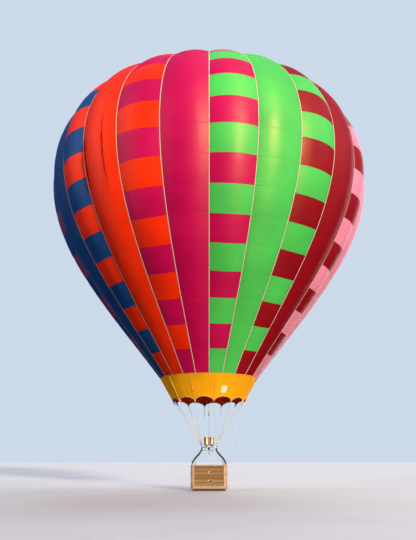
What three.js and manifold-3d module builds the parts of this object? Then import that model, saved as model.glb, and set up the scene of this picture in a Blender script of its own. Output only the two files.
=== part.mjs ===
// A hot air balloon with its basket, burner and rigging.
// Millimetres, +Z up. The long side of the basket faces -Y, and +X is to its right.
// Heights are worked out above the ground, and the whole model is lowered at the end,
// so that the origin is in the middle of the warm air that carries it.

import * as THREE from 'three';
import { mergeVertices } from 'three/addons/utils/BufferGeometryUtils.js';
import Module from 'manifold-3d';

const wasm = await Module();
wasm.setup();

// Driving dimensions of the envelope
const AIR_HEIGHT = 15000;
const MOUTH_RADIUS = 2470;
const MOUTH_HEIGHT = 5330;
const MOUTH_SLOPE = 37.4;
const SHAPE_LENGTH = 7790;
const CALM_RISE = 1730;
const GORE_COUNT = 24;
const PANEL_HEIGHT = 1280;
const PANEL_ROWS = 17;
const GORE_BULGE = 0.09;
const SKIN = 10;
const TAPE_WIDTH = 40;
const BAND_WIDTH = 60;
const CROWN_RING_RADIUS = 180;
const CROWN_RING_TUBE = 12;
const VALVE_OVERLAP = 300;
const VALVE_DROP = 24;
const VALVE_CLEARANCE = 1;

// Driving dimensions of the skirt and the rigging
const POINT_COUNT = 12;
const POINT_RADIUS = 1720;
const POINT_HEIGHT = 4060;
const SCALLOP_RISE = 250;
const SCALLOP_ROUNDNESS = 0.5;
const WIRE_RADIUS = 10;
const WIRE_INSET = 25;
const TAPE_FOOT = 40;
const TAPE_FOOT_SEAT = 2.4;
const LINK_ROD = 10;
const LINK_BOW = 16;
const LINK_LENGTH = 60;
const EYE_RADIUS = 13;
const EYE_TUBE = 5;
const LINE_RADIUS = 6;
const HANDLE_LENGTH = 90;
const HANDLE_RADIUS = 18;
const HANDLE_DROP = 250;

// Driving dimensions of the load frame and the burner
const FRAME_HEIGHT = 2000;
const FRAME_X = 350;
const FRAME_Y = 400;
const FRAME_TUBE = 30;
const GIMBAL_X = 290;
const GIMBAL_Y = 250;
const GIMBAL_TUBE = 20;
const PIN_RADIUS = 8;
const PIN_END = 5;
const BORE_RADIUS = 9;
const BURNER_BAR = { width: 40, height: 30, end: 10 };
const BURNER_PLATE = { inset: 40, depth: 110, thickness: 16 };
const VALVE_BLOCK = { width: 90, height: 50 };
const LEVER = { width: 18, length: 130, thickness: 10, reach: 90 };
const BURNER_SPACING = 260;
const CAN_RADIUS = 115;
const CAN_HEIGHT = 400;
const CAN_WALL = 6;
const CAN_FLOOR_SHARE = 0.7;
const CAN_SHOULDER_SHARE = 0.12;
const MANIFOLD = 80;
const MANIFOLD_DROP = 45;
const SUNK = 1;

// Driving dimensions of the basket
const BASKET_X = 870;
const BASKET_Y = 600;
const BASKET_CORNER = 150;
const BASKET_WALL = 30;
const SKID_HEIGHT = 100;
const FLOOR_THICKNESS = 30;
const RIM_TOP = 1180;
const RIM_HEIGHT = 50;
const RIM_WIDTH = 70;
const SKID = { width: 70, spacing: 430, inset: 90 };
const BATTEN = { width: 90, length: 920, height: 40, fromMiddle: 560 };
const UPRIGHT_RADIUS = 30;
const UPRIGHT_FOOT_PULL = 350;
const UPRIGHT_HEAD_PULL = 300;
const CYLINDER_RADIUS = 150;
const CYLINDER_X = 680;
const CYLINDER_Y = 410;
const HOSE_RADIUS = 11;
const LOOP_RADIUS = 12;
const GAP = 0.3;

// The twelve plain gores, from the one left of the middle of the front, anticlockwise from above.
// The chequered gore right of each one takes its colour and the next one's.
const GORE_COLOURS = [
  // name, colour
  ['magenta', 0xc8185a],
  ['green', 0x4fc96b],
  ['dark_red', 0x9c1428],
  ['pink', 0xf58fa5],
  ['yellow', 0xf7c21c],
  ['turquoise', 0x1ba7ab],
  ['red', 0xd8241f],
  ['sky_blue', 0x4f9fe0],
  ['violet', 0x5b3fa8],
  ['purple', 0x96567a],
  ['blue', 0x0f4a8c],
  ['orange', 0xf04a26],
];

const FINISH = {
  cloth: { roughness: 0.45, metalness: 0 },
  tape: { color: 0xe6d9bd, roughness: 0.7, metalness: 0 },
  skirt: { color: 0xffb21a, roughness: 0.6, metalness: 0 },
  wire: { color: 0xcbbf9f, roughness: 0.6, metalness: 0 },
  steel: { color: 0xb9bbbd, roughness: 0.3, metalness: 1 },
  brass: { color: 0xb58b3c, roughness: 0.35, metalness: 1 },
  sleeve: { color: 0x1b1c20, roughness: 0.8, metalness: 0 },
  wicker: { color: 0xbe8c46, roughness: 0.8, metalness: 0 },
  leather: { color: 0xd9b184, roughness: 0.7, metalness: 0 },
  wood: { color: 0x4a3322, roughness: 0.8, metalness: 0 },
  rope: { color: 0xd8d2c4, roughness: 0.8, metalness: 0 },
  hose: { color: 0x222326, roughness: 0.6, metalness: 0 },
  red: { color: 0xc02a1e, roughness: 0.6, metalness: 0 },
};

const balloon = new THREE.Group();

function addPart(name, geometry, finish) {
  const mesh = new THREE.Mesh(geometry, new THREE.MeshStandardMaterial(finish));
  mesh.name = name;
  balloon.add(mesh);
}

// Solids

function solid(geometry) {
  const bare = new THREE.BufferGeometry();
  bare.setAttribute('position', geometry.getAttribute('position').clone());
  if (geometry.index) bare.setIndex(geometry.index.clone());
  const merged = mergeVertices(bare, 0.001);
  return new wasm.Manifold(new wasm.Mesh({
    numProp: 3,
    vertProperties: new Float32Array(merged.getAttribute('position').array),
    triVerts: new Uint32Array(merged.index.array),
  }));
}

function shape(manifold) {
  const mesh = manifold.getMesh();
  const geometry = new THREE.BufferGeometry();
  geometry.setAttribute('position', new THREE.BufferAttribute(mesh.vertProperties, 3));
  geometry.setIndex(new THREE.BufferAttribute(mesh.triVerts, 1));
  return geometry;
}

function joined(geometries) {
  return shape(geometries.map(solid).reduce((whole, piece) => whole.add(piece)));
}

function cut(geometry, tools) {
  return shape(tools.map(solid).reduce((whole, tool) => whole.subtract(tool), solid(geometry)));
}

function box(x, y, z, centre) {
  const geometry = new THREE.BoxGeometry(x, y, z);
  geometry.translate(centre.x, centre.y, centre.z);
  return geometry;
}

function rod(from, to, radius, sides = 8) {
  const along = to.clone().sub(from);
  const geometry = new THREE.CylinderGeometry(radius, radius, along.length(), sides);
  const turn = new THREE.Quaternion().setFromUnitVectors(
    new THREE.Vector3(0, 1, 0), along.clone().normalize());
  geometry.applyQuaternion(turn);
  const middle = from.clone().add(to).multiplyScalar(0.5);
  geometry.translate(middle.x, middle.y, middle.z);
  return geometry;
}

function eye(centre, axis) {
  const geometry = new THREE.TorusGeometry(EYE_RADIUS, EYE_TUBE, 6, 10);
  geometry.applyQuaternion(
    new THREE.Quaternion().setFromUnitVectors(new THREE.Vector3(0, 0, 1), axis));
  geometry.translate(centre.x, centre.y, centre.z);
  return geometry;
}

function turned(outline, sides) {
  const points = outline.map(([radius, height]) => new THREE.Vector2(radius, height));
  const geometry = new THREE.LatheGeometry(points, sides);
  geometry.rotateX(Math.PI / 2);
  return geometry;
}

function tube(points, radius, sides, steps) {
  const section = new THREE.Shape();
  section.absarc(0, 0, radius, 0, 2 * Math.PI);
  return new THREE.ExtrudeGeometry(section, {
    extrudePath: new THREE.CatmullRomCurve3(points, false, 'centripetal'),
    steps,
    curveSegments: sides / 2,
  });
}

function roundedRectangle(halfX, halfY, corner) {
  const outline = new THREE.Shape();
  outline.absarc(halfX - corner, -halfY + corner, corner, -Math.PI / 2, 0);
  outline.absarc(halfX - corner, halfY - corner, corner, 0, Math.PI / 2);
  outline.absarc(-halfX + corner, halfY - corner, corner, Math.PI / 2, Math.PI);
  outline.absarc(-halfX + corner, -halfY + corner, corner, Math.PI, 1.5 * Math.PI);
  return outline;
}

// A sheet of cloth with two faces, closed round its edges.
// The point for each side (0 outer, 1 inner), row and column comes from a function.
function sheet(columns, rows, wraps, point) {
  const across = wraps ? columns : columns + 1;
  const at = (side, row, column) => (side * (rows + 1) + row) * across + (column % across);
  const positions = [];
  for (const side of [0, 1]) {
    for (let row = 0; row <= rows; row += 1) {
      for (let column = 0; column < across; column += 1) {
        positions.push(...point(side, row, column).toArray());
      }
    }
  }
  const faces = [];
  const quad = (a, b, c, d) => faces.push(a, b, c, a, c, d);
  for (let column = 0; column < columns; column += 1) {
    const next = column + 1;
    for (let row = 0; row < rows; row += 1) {
      quad(at(0, row, column), at(0, row, next), at(0, row + 1, next), at(0, row + 1, column));
      quad(at(1, row, column), at(1, row + 1, column), at(1, row + 1, next), at(1, row, next));
    }
    quad(at(0, 0, next), at(0, 0, column), at(1, 0, column), at(1, 0, next));
    quad(at(0, rows, column), at(0, rows, next), at(1, rows, next), at(1, rows, column));
  }
  for (let row = 0; row < rows && !wraps; row += 1) {
    quad(at(0, row, 0), at(0, row + 1, 0), at(1, row + 1, 0), at(1, row, 0));
    quad(at(0, row + 1, columns), at(0, row, columns), at(1, row, columns), at(1, row + 1, columns));
  }
  const geometry = new THREE.BufferGeometry();
  geometry.setAttribute('position', new THREE.Float32BufferAttribute(positions, 3));
  geometry.setIndex(faces);
  return geometry;
}

// The shape of the envelope

// The natural shape of a balloon. The load tapes pull equally all the way up, and the warm air
// presses out more the higher it is, so the profile bends most where it is wide and high.
function naturalProfile() {
  const step = 10;
  const points = [];
  let slope = THREE.MathUtils.degToRad(MOUTH_SLOPE);
  let radius = MOUTH_RADIUS;
  let rise = 0;
  const bend = () => radius * (rise - CALM_RISE) / SHAPE_LENGTH ** 3;
  while (radius > step) {
    points.push({ radius, height: MOUTH_HEIGHT + rise, slope });
    slope -= bend() * step / 2;
    radius += Math.sin(slope) * step;
    rise += Math.cos(slope) * step;
    slope -= bend() * step / 2;
  }
  return { points, step };
}

const profile = naturalProfile();
const profileLength = (profile.points.length - 1) * profile.step;

// The place on the profile at a length measured up from the mouth, moved out along the normal.
function onProfile(length, out = 0) {
  const place = Math.min(length, profileLength) / profile.step;
  const index = Math.max(0, Math.min(profile.points.length - 2, Math.floor(place)));
  const low = profile.points[index];
  const high = profile.points[index + 1];
  const share = place - index;
  const slope = THREE.MathUtils.lerp(low.slope, high.slope, Math.max(0, share));
  return {
    radius: THREE.MathUtils.lerp(low.radius, high.radius, share) + out * Math.cos(slope),
    height: THREE.MathUtils.lerp(low.height, high.height, share) - out * Math.sin(slope),
  };
}

// An angle of 0 points to the front, at -Y, and angles grow towards +X.
function around(angle, radius, height) {
  return new THREE.Vector3(radius * Math.sin(angle), -radius * Math.cos(angle), height);
}

const goreAngle = 2 * Math.PI / GORE_COUNT;
const ventLength = PANEL_HEIGHT * PANEL_ROWS;
const valveRimLength = ventLength - VALVE_OVERLAP;
const goreSteps = 10;
const skinStations = [];
for (let step = 0; step < goreSteps; step += 1) {
  skinStations.push(valveRimLength * step / (goreSteps - 1));
}
skinStations.push(ventLength);

function bulge(length) {
  const swell = Math.sin(Math.PI * length / ventLength) ** 0.6;
  return GORE_BULGE * goreAngle * onProfile(length).radius * (length < ventLength ? swell : 0);
}

function gore(index) {
  const columns = 3;
  return sheet(columns, goreSteps, false, (side, row, column) => {
    const length = skinStations[row] - (row === goreSteps ? GAP : 0);
    const edge = Math.asin((TAPE_WIDTH / 2 + GAP) / onProfile(length, -SKIN).radius);
    const share = column / columns;
    const out = 4 * share * (1 - share) * bulge(skinStations[row]) - side * SKIN;
    const place = onProfile(length, out);
    const angle = goreAngle * index + edge + (goreAngle - 2 * edge) * share;
    return around(angle, place.radius, place.height);
  });
}

// A load tape up the profile at one seam. Its foot is thick, to take the end of a flying wire.
function loadTape(seam, stations) {
  return sheet(1, stations.length - 1, false, (side, row, column) => {
    const thickness = stations[row] < 0 ? TAPE_FOOT : SKIN;
    const place = onProfile(stations[row], -side * thickness);
    const lateral = (column - 0.5) * TAPE_WIDTH;
    const angle = goreAngle * seam;
    return around(angle, place.radius, place.height)
      .add(new THREE.Vector3(Math.cos(angle), Math.sin(angle), 0).multiplyScalar(lateral));
  });
}

function band(low, high) {
  return sheet(GORE_COUNT, 1, true, (side, row, column) => {
    const place = onProfile(row ? high : low, side ? -SKIN : 0);
    return around(goreAngle * column, place.radius, place.height);
  });
}

const crownEdge = CROWN_RING_RADIUS + CROWN_RING_TUBE;
const crownIndex = profile.points.findLastIndex(({ radius }) => radius > crownEdge);
const crownLength = crownIndex * profile.step + profile.points[crownIndex].radius - crownEdge;

// The load tapes run from the band round the mouth to the crown ring.
function loadTapes() {
  const low = -BAND_WIDTH;
  const stations = [low, low / 4, ...skinStations, (ventLength + crownLength) / 2, crownLength - GAP];
  const pieces = [band(low, -GAP)];
  for (let seam = 0; seam < GORE_COUNT; seam += 1) pieces.push(loadTape(seam, stations));
  return joined(pieces);
}

function crownRing() {
  const geometry = new THREE.TorusGeometry(CROWN_RING_RADIUS, CROWN_RING_TUBE, 6, GORE_COUNT);
  geometry.translate(0, 0, onProfile(crownLength, -SKIN / 2).height);
  return geometry;
}

// The parachute that closes the vent from inside. Its rim bears on the skin below the vent.
function parachuteValve() {
  const rows = [
    // length up the profile, drop below it
    [valveRimLength, SKIN + VALVE_CLEARANCE],
    [ventLength, SKIN + 4 * VALVE_CLEARANCE],
    [(2 * ventLength + crownLength) / 3, VALVE_DROP],
    [(ventLength + crownLength) / 2, VALVE_DROP],
    [crownLength, VALVE_DROP],
  ];
  const top = rows.map(([length, drop]) => onProfile(length, -drop));
  const under = rows.map(([length, drop]) => onProfile(length, -drop - SKIN)).reverse();
  const outline = [...under, ...top].map(({ radius, height }) => [radius, height]);
  const middle = outline[outline.length - 1][1];
  return turned([[0, middle - SKIN], ...outline, [0, middle]], GORE_COUNT);
}

// The line that opens the valve, with a handle above the basket
function valveLine() {
  const top = new THREE.Vector3(0, 0, onProfile(crownLength, -VALVE_DROP - SKIN).height - GAP);
  const foot = new THREE.Vector3(0, (FRAME_Y + GIMBAL_Y) / 2, FRAME_HEIGHT - HANDLE_DROP);
  const gripTop = foot.clone().setZ(foot.z + LINE_RADIUS);
  const gripEnd = foot.clone().setZ(foot.z - HANDLE_LENGTH);
  return joined([rod(top, foot, LINE_RADIUS, 6), rod(gripTop, gripEnd, HANDLE_RADIUS)]);
}

// The skirt and the flying wires

const skirtTop = onProfile(-BAND_WIDTH - GAP);

function skirt() {
  const columns = POINT_COUNT * 6;
  const rows = 2;
  const reach = skirtTop.height - POINT_HEIGHT;
  const lean = Math.atan2(skirtTop.radius - POINT_RADIUS, reach);
  return sheet(columns, rows, true, (side, row, column) => {
    const share = (column * POINT_COUNT / columns) % 1;
    const low = POINT_HEIGHT + SCALLOP_RISE * Math.sin(Math.PI * share) ** SCALLOP_ROUNDNESS;
    const height = THREE.MathUtils.lerp(low, skirtTop.height, row / rows);
    const radius = POINT_RADIUS + (height - POINT_HEIGHT) * Math.tan(lean) - side * SKIN / Math.cos(lean);
    return around(goreAngle / 2 + 2 * Math.PI * column / columns, radius, height);
  });
}

// The four corners of the frame and the basket: sign of x, sign of y, name, first skirt point
const CORNERS = [
  [1, -1, 'front_right', 0],
  [1, 1, 'back_right', 3],
  [-1, 1, 'back_left', 6],
  [-1, -1, 'front_left', 9],
];

function wireJoint(point) {
  const angle = goreAngle / 2 + 2 * Math.PI * point / POINT_COUNT;
  return around(angle, POINT_RADIUS - WIRE_INSET, POINT_HEIGHT);
}

// The eye on the frame, the eye of the wires, and the direction from one to the other
function cornerLink(signX, signY, firstPoint) {
  const low = new THREE.Vector3(signX * FRAME_X, signY * FRAME_Y, FRAME_HEIGHT + FRAME_TUBE);
  const pull = new THREE.Vector3();
  for (const point of [0, 1, 2]) pull.add(wireJoint(firstPoint + point).sub(low).normalize());
  pull.normalize();
  const sideways = new THREE.Vector3(0, 0, 1).cross(pull).normalize();
  const high = low.clone().addScaledVector(pull, LINK_LENGTH + 2 * LINK_BOW);
  return { low, high, pull, sideways };
}

function flyingWires(signX, signY, firstPoint) {
  const { high, pull, sideways } = cornerLink(signX, signY, firstPoint);
  const start = high.clone().addScaledVector(pull, EYE_RADIUS);
  const pieces = [eye(high, sideways)];
  for (const point of [0, 1, 2]) {
    const joint = wireJoint(firstPoint + point);
    const middleSeam = goreAngle / 2 + 2 * Math.PI * (firstPoint + point) / POINT_COUNT;
    pieces.push(rod(start, joint, WIRE_RADIUS, 4));
    for (const side of [-0.5, 0.5]) {
      const place = onProfile(-BAND_WIDTH - TAPE_FOOT_SEAT, -WIRE_INSET);
      const end = around(middleSeam + side * goreAngle, place.radius, place.height);
      pieces.push(rod(joint, end, WIRE_RADIUS, 4));
    }
  }
  return joined(pieces);
}

// A closed link with straight sides and round ends, through the eye of the frame and the wires
function link(signX, signY, firstPoint) {
  const { low, high, pull, sideways } = cornerLink(signX, signY, firstPoint);
  const stadium = (radius, Outline) => {
    const outline = new Outline();
    outline.absarc(LINK_LENGTH / 2, 0, radius, -Math.PI / 2, Math.PI / 2);
    outline.absarc(-LINK_LENGTH / 2, 0, radius, Math.PI / 2, 1.5 * Math.PI);
    return outline;
  };
  const ring = stadium(LINK_BOW + LINK_ROD / 2, THREE.Shape);
  ring.holes.push(stadium(LINK_BOW - LINK_ROD / 2, THREE.Path));
  const geometry = new THREE.ExtrudeGeometry(ring, {
    depth: LINK_ROD, bevelEnabled: false, curveSegments: 3,
  });
  geometry.translate(0, 0, -LINK_ROD / 2);
  const basis = new THREE.Matrix4().makeBasis(pull, sideways, pull.clone().cross(sideways));
  geometry.applyMatrix4(basis);
  const middle = low.clone().add(high).multiplyScalar(0.5);
  geometry.translate(middle.x, middle.y, middle.z);
  return geometry;
}

// The load frame and the burner

function rectangleFrame(halfX, halfY, thickness, height) {
  const outline = roundedRectangle(halfX + thickness / 2, halfY + thickness / 2, thickness / 2);
  outline.holes.push(new THREE.Path([
    new THREE.Vector2(-halfX + thickness / 2, -halfY + thickness / 2),
    new THREE.Vector2(-halfX + thickness / 2, halfY - thickness / 2),
    new THREE.Vector2(halfX - thickness / 2, halfY - thickness / 2),
    new THREE.Vector2(halfX - thickness / 2, -halfY + thickness / 2),
  ]));
  const geometry = new THREE.ExtrudeGeometry(outline, {
    depth: thickness, bevelEnabled: false, curveSegments: 1,
  });
  geometry.translate(0, 0, height - thickness / 2);
  return geometry;
}

const centre = new THREE.Vector3(0, 0, FRAME_HEIGHT);
const alongX = new THREE.Vector3(1, 0, 0);
const alongY = new THREE.Vector3(0, 1, 0);

function onAxis(axis, distance) {
  return centre.clone().addScaledVector(axis, distance);
}

function loadFrame() {
  const bars = rectangleFrame(FRAME_X, FRAME_Y, FRAME_TUBE, FRAME_HEIGHT);
  const eyes = CORNERS.map(([signX, signY, , firstPoint]) => {
    const { low, sideways } = cornerLink(signX, signY, firstPoint);
    return eye(low, sideways);
  });
  const bore = rod(onAxis(alongX, -FRAME_X - FRAME_TUBE), onAxis(alongX, FRAME_X + FRAME_TUBE),
    BORE_RADIUS, 12);
  return cut(joined([bars, ...eyes]), [bore]);
}

function gimbalRing() {
  const bars = rectangleFrame(GIMBAL_X, GIMBAL_Y, GIMBAL_TUBE, FRAME_HEIGHT);
  const pins = [-1, 1].map((side) => rod(
    onAxis(alongX, side * GIMBAL_X), onAxis(alongX, side * (FRAME_X + PIN_END)), PIN_RADIUS, 12));
  const bore = rod(onAxis(alongY, -GIMBAL_Y - GIMBAL_TUBE), onAxis(alongY, GIMBAL_Y + GIMBAL_TUBE),
    BORE_RADIUS, 12);
  return cut(joined([bars, ...pins]), [bore]);
}

const plateTop = FRAME_HEIGHT + BURNER_BAR.height / 2 + BURNER_PLATE.thickness;

// The bar that carries both burners, with the plate under them and the block that the hoses feed
function burnerBar() {
  const barY = GIMBAL_Y - GIMBAL_TUBE / 2 - BURNER_BAR.end;
  const plateX = BURNER_SPACING + 2 * (CAN_RADIUS - BURNER_PLATE.inset);
  const plateZ = plateTop - BURNER_PLATE.thickness / 2 - SUNK;
  const manifoldZ = FRAME_HEIGHT - BURNER_BAR.height / 2 - MANIFOLD_DROP / 2 + SUNK;
  return joined([
    box(BURNER_BAR.width, 2 * barY, BURNER_BAR.height, centre),
    box(plateX, BURNER_PLATE.depth, BURNER_PLATE.thickness + 2 * SUNK, new THREE.Vector3(0, 0, plateZ)),
    box(MANIFOLD, MANIFOLD, MANIFOLD_DROP + 2 * SUNK, new THREE.Vector3(0, 0, manifoldZ)),
    rod(onAxis(alongY, -GIMBAL_Y - PIN_END), onAxis(alongY, GIMBAL_Y + PIN_END), PIN_RADIUS, 12),
  ]);
}

// A valve block with its lever to the front
function burnerValve(side) {
  const { width, height } = VALVE_BLOCK;
  const middle = new THREE.Vector3(side * BURNER_SPACING / 2, 0, plateTop + GAP + height / 2);
  const leverAt = middle.clone().add(new THREE.Vector3(0, -LEVER.reach, LEVER.thickness));
  return joined([
    box(width, width, height, middle),
    box(LEVER.width, LEVER.length, LEVER.thickness, leverAt),
  ]);
}

// The can round the flame, open at the top
function burnerCan(side) {
  const inner = CAN_RADIUS - CAN_WALL;
  const shoulder = CAN_HEIGHT * CAN_SHOULDER_SHARE;
  const geometry = turned([
    [0, 0],
    [CAN_RADIUS * CAN_FLOOR_SHARE, 0],
    [CAN_RADIUS, shoulder],
    [CAN_RADIUS, CAN_HEIGHT],
    [inner, CAN_HEIGHT],
    [inner, shoulder + CAN_WALL],
    [inner * CAN_FLOOR_SHARE, CAN_WALL],
    [0, CAN_WALL],
  ], 16);
  geometry.translate(side * BURNER_SPACING / 2, 0, plateTop + 2 * GAP + VALVE_BLOCK.height);
  return geometry;
}

// The basket

const floorTop = SKID_HEIGHT + FLOOR_THICKNESS;
const rimLow = RIM_TOP - RIM_HEIGHT;

function basketOutline(inset) {
  return roundedRectangle(BASKET_X - inset, BASKET_Y - inset, BASKET_CORNER - inset);
}

function ring(outer, inner, low, high) {
  const outline = basketOutline(outer);
  outline.holes.push(new THREE.Path(basketOutline(inner).getPoints(4)));
  const geometry = new THREE.ExtrudeGeometry(outline, {
    depth: high - low, bevelEnabled: false, curveSegments: 4,
  });
  geometry.translate(0, 0, low);
  return geometry;
}

// Footholds through the front and back walls, by the height of their middle
const FOOTHOLD_HEIGHTS = [460, 850];
const FOOTHOLD = { width: 200, height: 110, x: 50 };

function basketWall() {
  const shell = ring(0, BASKET_WALL, floorTop + GAP, rimLow - GAP);
  const holes = [];
  for (const height of FOOTHOLD_HEIGHTS) {
    for (const side of [-1, 1]) {
      const middle = new THREE.Vector3(-side * FOOTHOLD.x, side * BASKET_Y, height);
      holes.push(box(FOOTHOLD.width, 4 * BASKET_WALL, FOOTHOLD.height, middle));
    }
  }
  return cut(shell, holes);
}

function basketFloor() {
  const geometry = new THREE.ExtrudeGeometry(basketOutline(0), {
    depth: FLOOR_THICKNESS, bevelEnabled: false, curveSegments: 4,
  });
  geometry.translate(0, 0, SKID_HEIGHT);
  return geometry;
}

// Three runners under the basket, held together by two battens
function basketSkids() {
  const height = SKID_HEIGHT - GAP;
  const pieces = [-1, 0, 1].map((row) => box(
    2 * (BASKET_X - SKID.inset), SKID.width, height,
    new THREE.Vector3(0, row * SKID.spacing, height / 2)));
  for (const side of [-1, 1]) {
    const middle = new THREE.Vector3(side * BATTEN.fromMiddle, 0, height - BATTEN.height / 2);
    pieces.push(box(BATTEN.width, BATTEN.length, BATTEN.height, middle));
  }
  return joined(pieces);
}

// An upright of the frame: from the rim at a corner of the basket, leaning in to the load frame
function upright(signX, signY) {
  const inset = BASKET_CORNER - (BASKET_CORNER - BASKET_WALL / 2) * Math.SQRT1_2;
  const foot = new THREE.Vector3(signX * (BASKET_X - inset), signY * (BASKET_Y - inset), RIM_TOP + GAP);
  const head = new THREE.Vector3(signX * FRAME_X, signY * FRAME_Y, FRAME_HEIGHT - FRAME_TUBE / 2 - GAP);
  const bow = new THREE.CubicBezierCurve3(
    foot,
    foot.clone().setZ(foot.z + UPRIGHT_FOOT_PULL),
    head.clone().setZ(head.z - UPRIGHT_HEAD_PULL),
    head,
  );
  const section = new THREE.Shape();
  section.absarc(0, 0, UPRIGHT_RADIUS, 0, 2 * Math.PI);
  return new THREE.ExtrudeGeometry(section, { extrudePath: bow, steps: 8, curveSegments: 4 });
}

const cylinderTop = 930;

// A cylinder with a foot ring, round shoulders and its valve on top
function fuelCylinder(side) {
  const outline = [
    // share of the radius, height
    [0, 0],
    [0.8, 0],
    [0.8, 25],
    [1, 60],
    [1, 760],
    [0.9, 820],
    [0.6, 860],
    [0.2, 875],
    [0.2, cylinderTop],
    [0, cylinderTop],
  ];
  const geometry = turned(outline.map(([share, height]) => [CYLINDER_RADIUS * share, height]), 16);
  geometry.translate(side * CYLINDER_X, CYLINDER_Y, floorTop + GAP);
  return geometry;
}

// Hoses and lines that hang free

// From the top of a cylinder, up beside the back upright, and under the burner to its block
function fuelHose(side) {
  const low = floorTop + cylinderTop + 2 * GAP;
  const route = [
    // x, y, z
    [CYLINDER_X, CYLINDER_Y, low],
    [CYLINDER_X, CYLINDER_Y, low + 40],
    [682, 413, 1150],
    [690, 424, 1230],
    [694, 436, 1310],
    [684, 444, 1395],
    [650, 440, 1470],
    [598, 430, 1535],
    [532, 412, 1600],
    [468, 392, 1665],
    [415, 374, 1735],
    [376, 352, 1805],
    [335, 328, 1855],
    [280, 290, 1872],
    [215, 232, 1862],
    [150, 160, 1845],
    [92, 92, 1836],
    [50, 40, 1846],
    [30, 12, 1872],
    [25, 0, 1898],
    [25, 0, 1920],
  ];
  return tube(route.map(([x, y, z]) => new THREE.Vector3(side * x, y, z)), HOSE_RADIUS, 8, 34);
}

// A loop of line that hangs from the front bar of the load frame
function hangingLoop() {
  const high = FRAME_HEIGHT - FRAME_TUBE / 2 - GAP;
  const route = [
    // x, z
    [-120, high],
    [-120, 1950],
    [-121, 1880],
    [-116, 1800],
    [-102, 1715],
    [-82, 1635],
    [-54, 1562],
    [-18, 1500],
    [24, 1452],
    [62, 1432],
    [100, 1440],
    [138, 1470],
    [176, 1528],
    [212, 1606],
    [240, 1690],
    [262, 1785],
    [275, 1880],
    [280, 1950],
    [280, high],
  ];
  return tube(route.map(([x, z]) => new THREE.Vector3(x, -FRAME_Y, z)), LOOP_RADIUS, 8, 26);
}

// The slack line of the turning vent, from the right of the mouth to the rim of the basket
function turningVentLine() {
  const start = wireJoint(3);
  const route = [
    // x, y, z
    [start.x + 4, start.y, start.z - 24],
    [1664, 222, 4000],
    [1652, 220, 3900],
    [1634, 216, 3760],
    [1612, 210, 3600],
    [1586, 204, 3420],
    [1556, 196, 3220],
    [1522, 188, 3010],
    [1484, 178, 2790],
    [1440, 168, 2570],
    [1390, 156, 2350],
    [1336, 144, 2140],
    [1272, 132, 1930],
    [1196, 118, 1740],
    [1110, 104, 1570],
    [1020, 92, 1430],
    [930, 84, 1322],
    [876, 80, 1262],
    [860, 80, 1222],
    [860, 80, RIM_TOP + GAP],
  ];
  return tube(route.map((place) => new THREE.Vector3(...place)), LINE_RADIUS, 8, 56);
}

// The assembly

GORE_COLOURS.forEach(([name, colour], index) => {
  const [nextName, nextColour] = GORE_COLOURS[(index + 1) % GORE_COLOURS.length];
  const mixed = new THREE.Color(colour).lerp(new THREE.Color(nextColour), 0.5);
  addPart(`gore_${name}`, gore(2 * index - 1), { color: colour, ...FINISH.cloth });
  addPart(`gore_${name}_and_${nextName}`, gore(2 * index), { color: mixed, ...FINISH.cloth });
});
addPart('load_tapes', loadTapes(), FINISH.tape);
addPart('crown_ring', crownRing(), FINISH.steel);
addPart('parachute_valve', parachuteValve(), { color: 0xf7c21c, ...FINISH.cloth });
addPart('valve_line', valveLine(), FINISH.red);
addPart('mouth_skirt', skirt(), FINISH.skirt);
for (const [signX, signY, corner, firstPoint] of CORNERS) {
  addPart(`flying_wires_${corner}`, flyingWires(signX, signY, firstPoint), FINISH.wire);
  addPart(`karabiner_${corner}`, link(signX, signY, firstPoint), FINISH.steel);
  addPart(`upright_${corner}`, upright(signX, signY), FINISH.sleeve);
}
addPart('load_frame', loadFrame(), FINISH.steel);
addPart('gimbal_ring', gimbalRing(), FINISH.steel);
addPart('burner_bar', burnerBar(), FINISH.steel);
for (const [side, word] of [[-1, 'left'], [1, 'right']]) {
  addPart(`burner_valve_${word}`, burnerValve(side), FINISH.brass);
  addPart(`burner_can_${word}`, burnerCan(side), FINISH.steel);
  addPart(`fuel_cylinder_${word}`, fuelCylinder(side), FINISH.steel);
  addPart(`fuel_hose_${word}`, fuelHose(side), FINISH.hose);
}
addPart('basket_wall', basketWall(), FINISH.wicker);
addPart('basket_floor', basketFloor(), FINISH.wood);
addPart('basket_rim', ring((BASKET_WALL - RIM_WIDTH) / 2, (BASKET_WALL + RIM_WIDTH) / 2, rimLow, RIM_TOP),
  FINISH.leather);
addPart('basket_skids', basketSkids(), FINISH.wood);
addPart('hanging_loop', hangingLoop(), FINISH.rope);
addPart('turning_vent_line', turningVentLine(), FINISH.rope);

balloon.position.z = -AIR_HEIGHT;
export default balloon;
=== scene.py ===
"""A hot air balloon, tethered on the ground: envelope, skirt, rigging, burner and basket."""

import math

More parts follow.
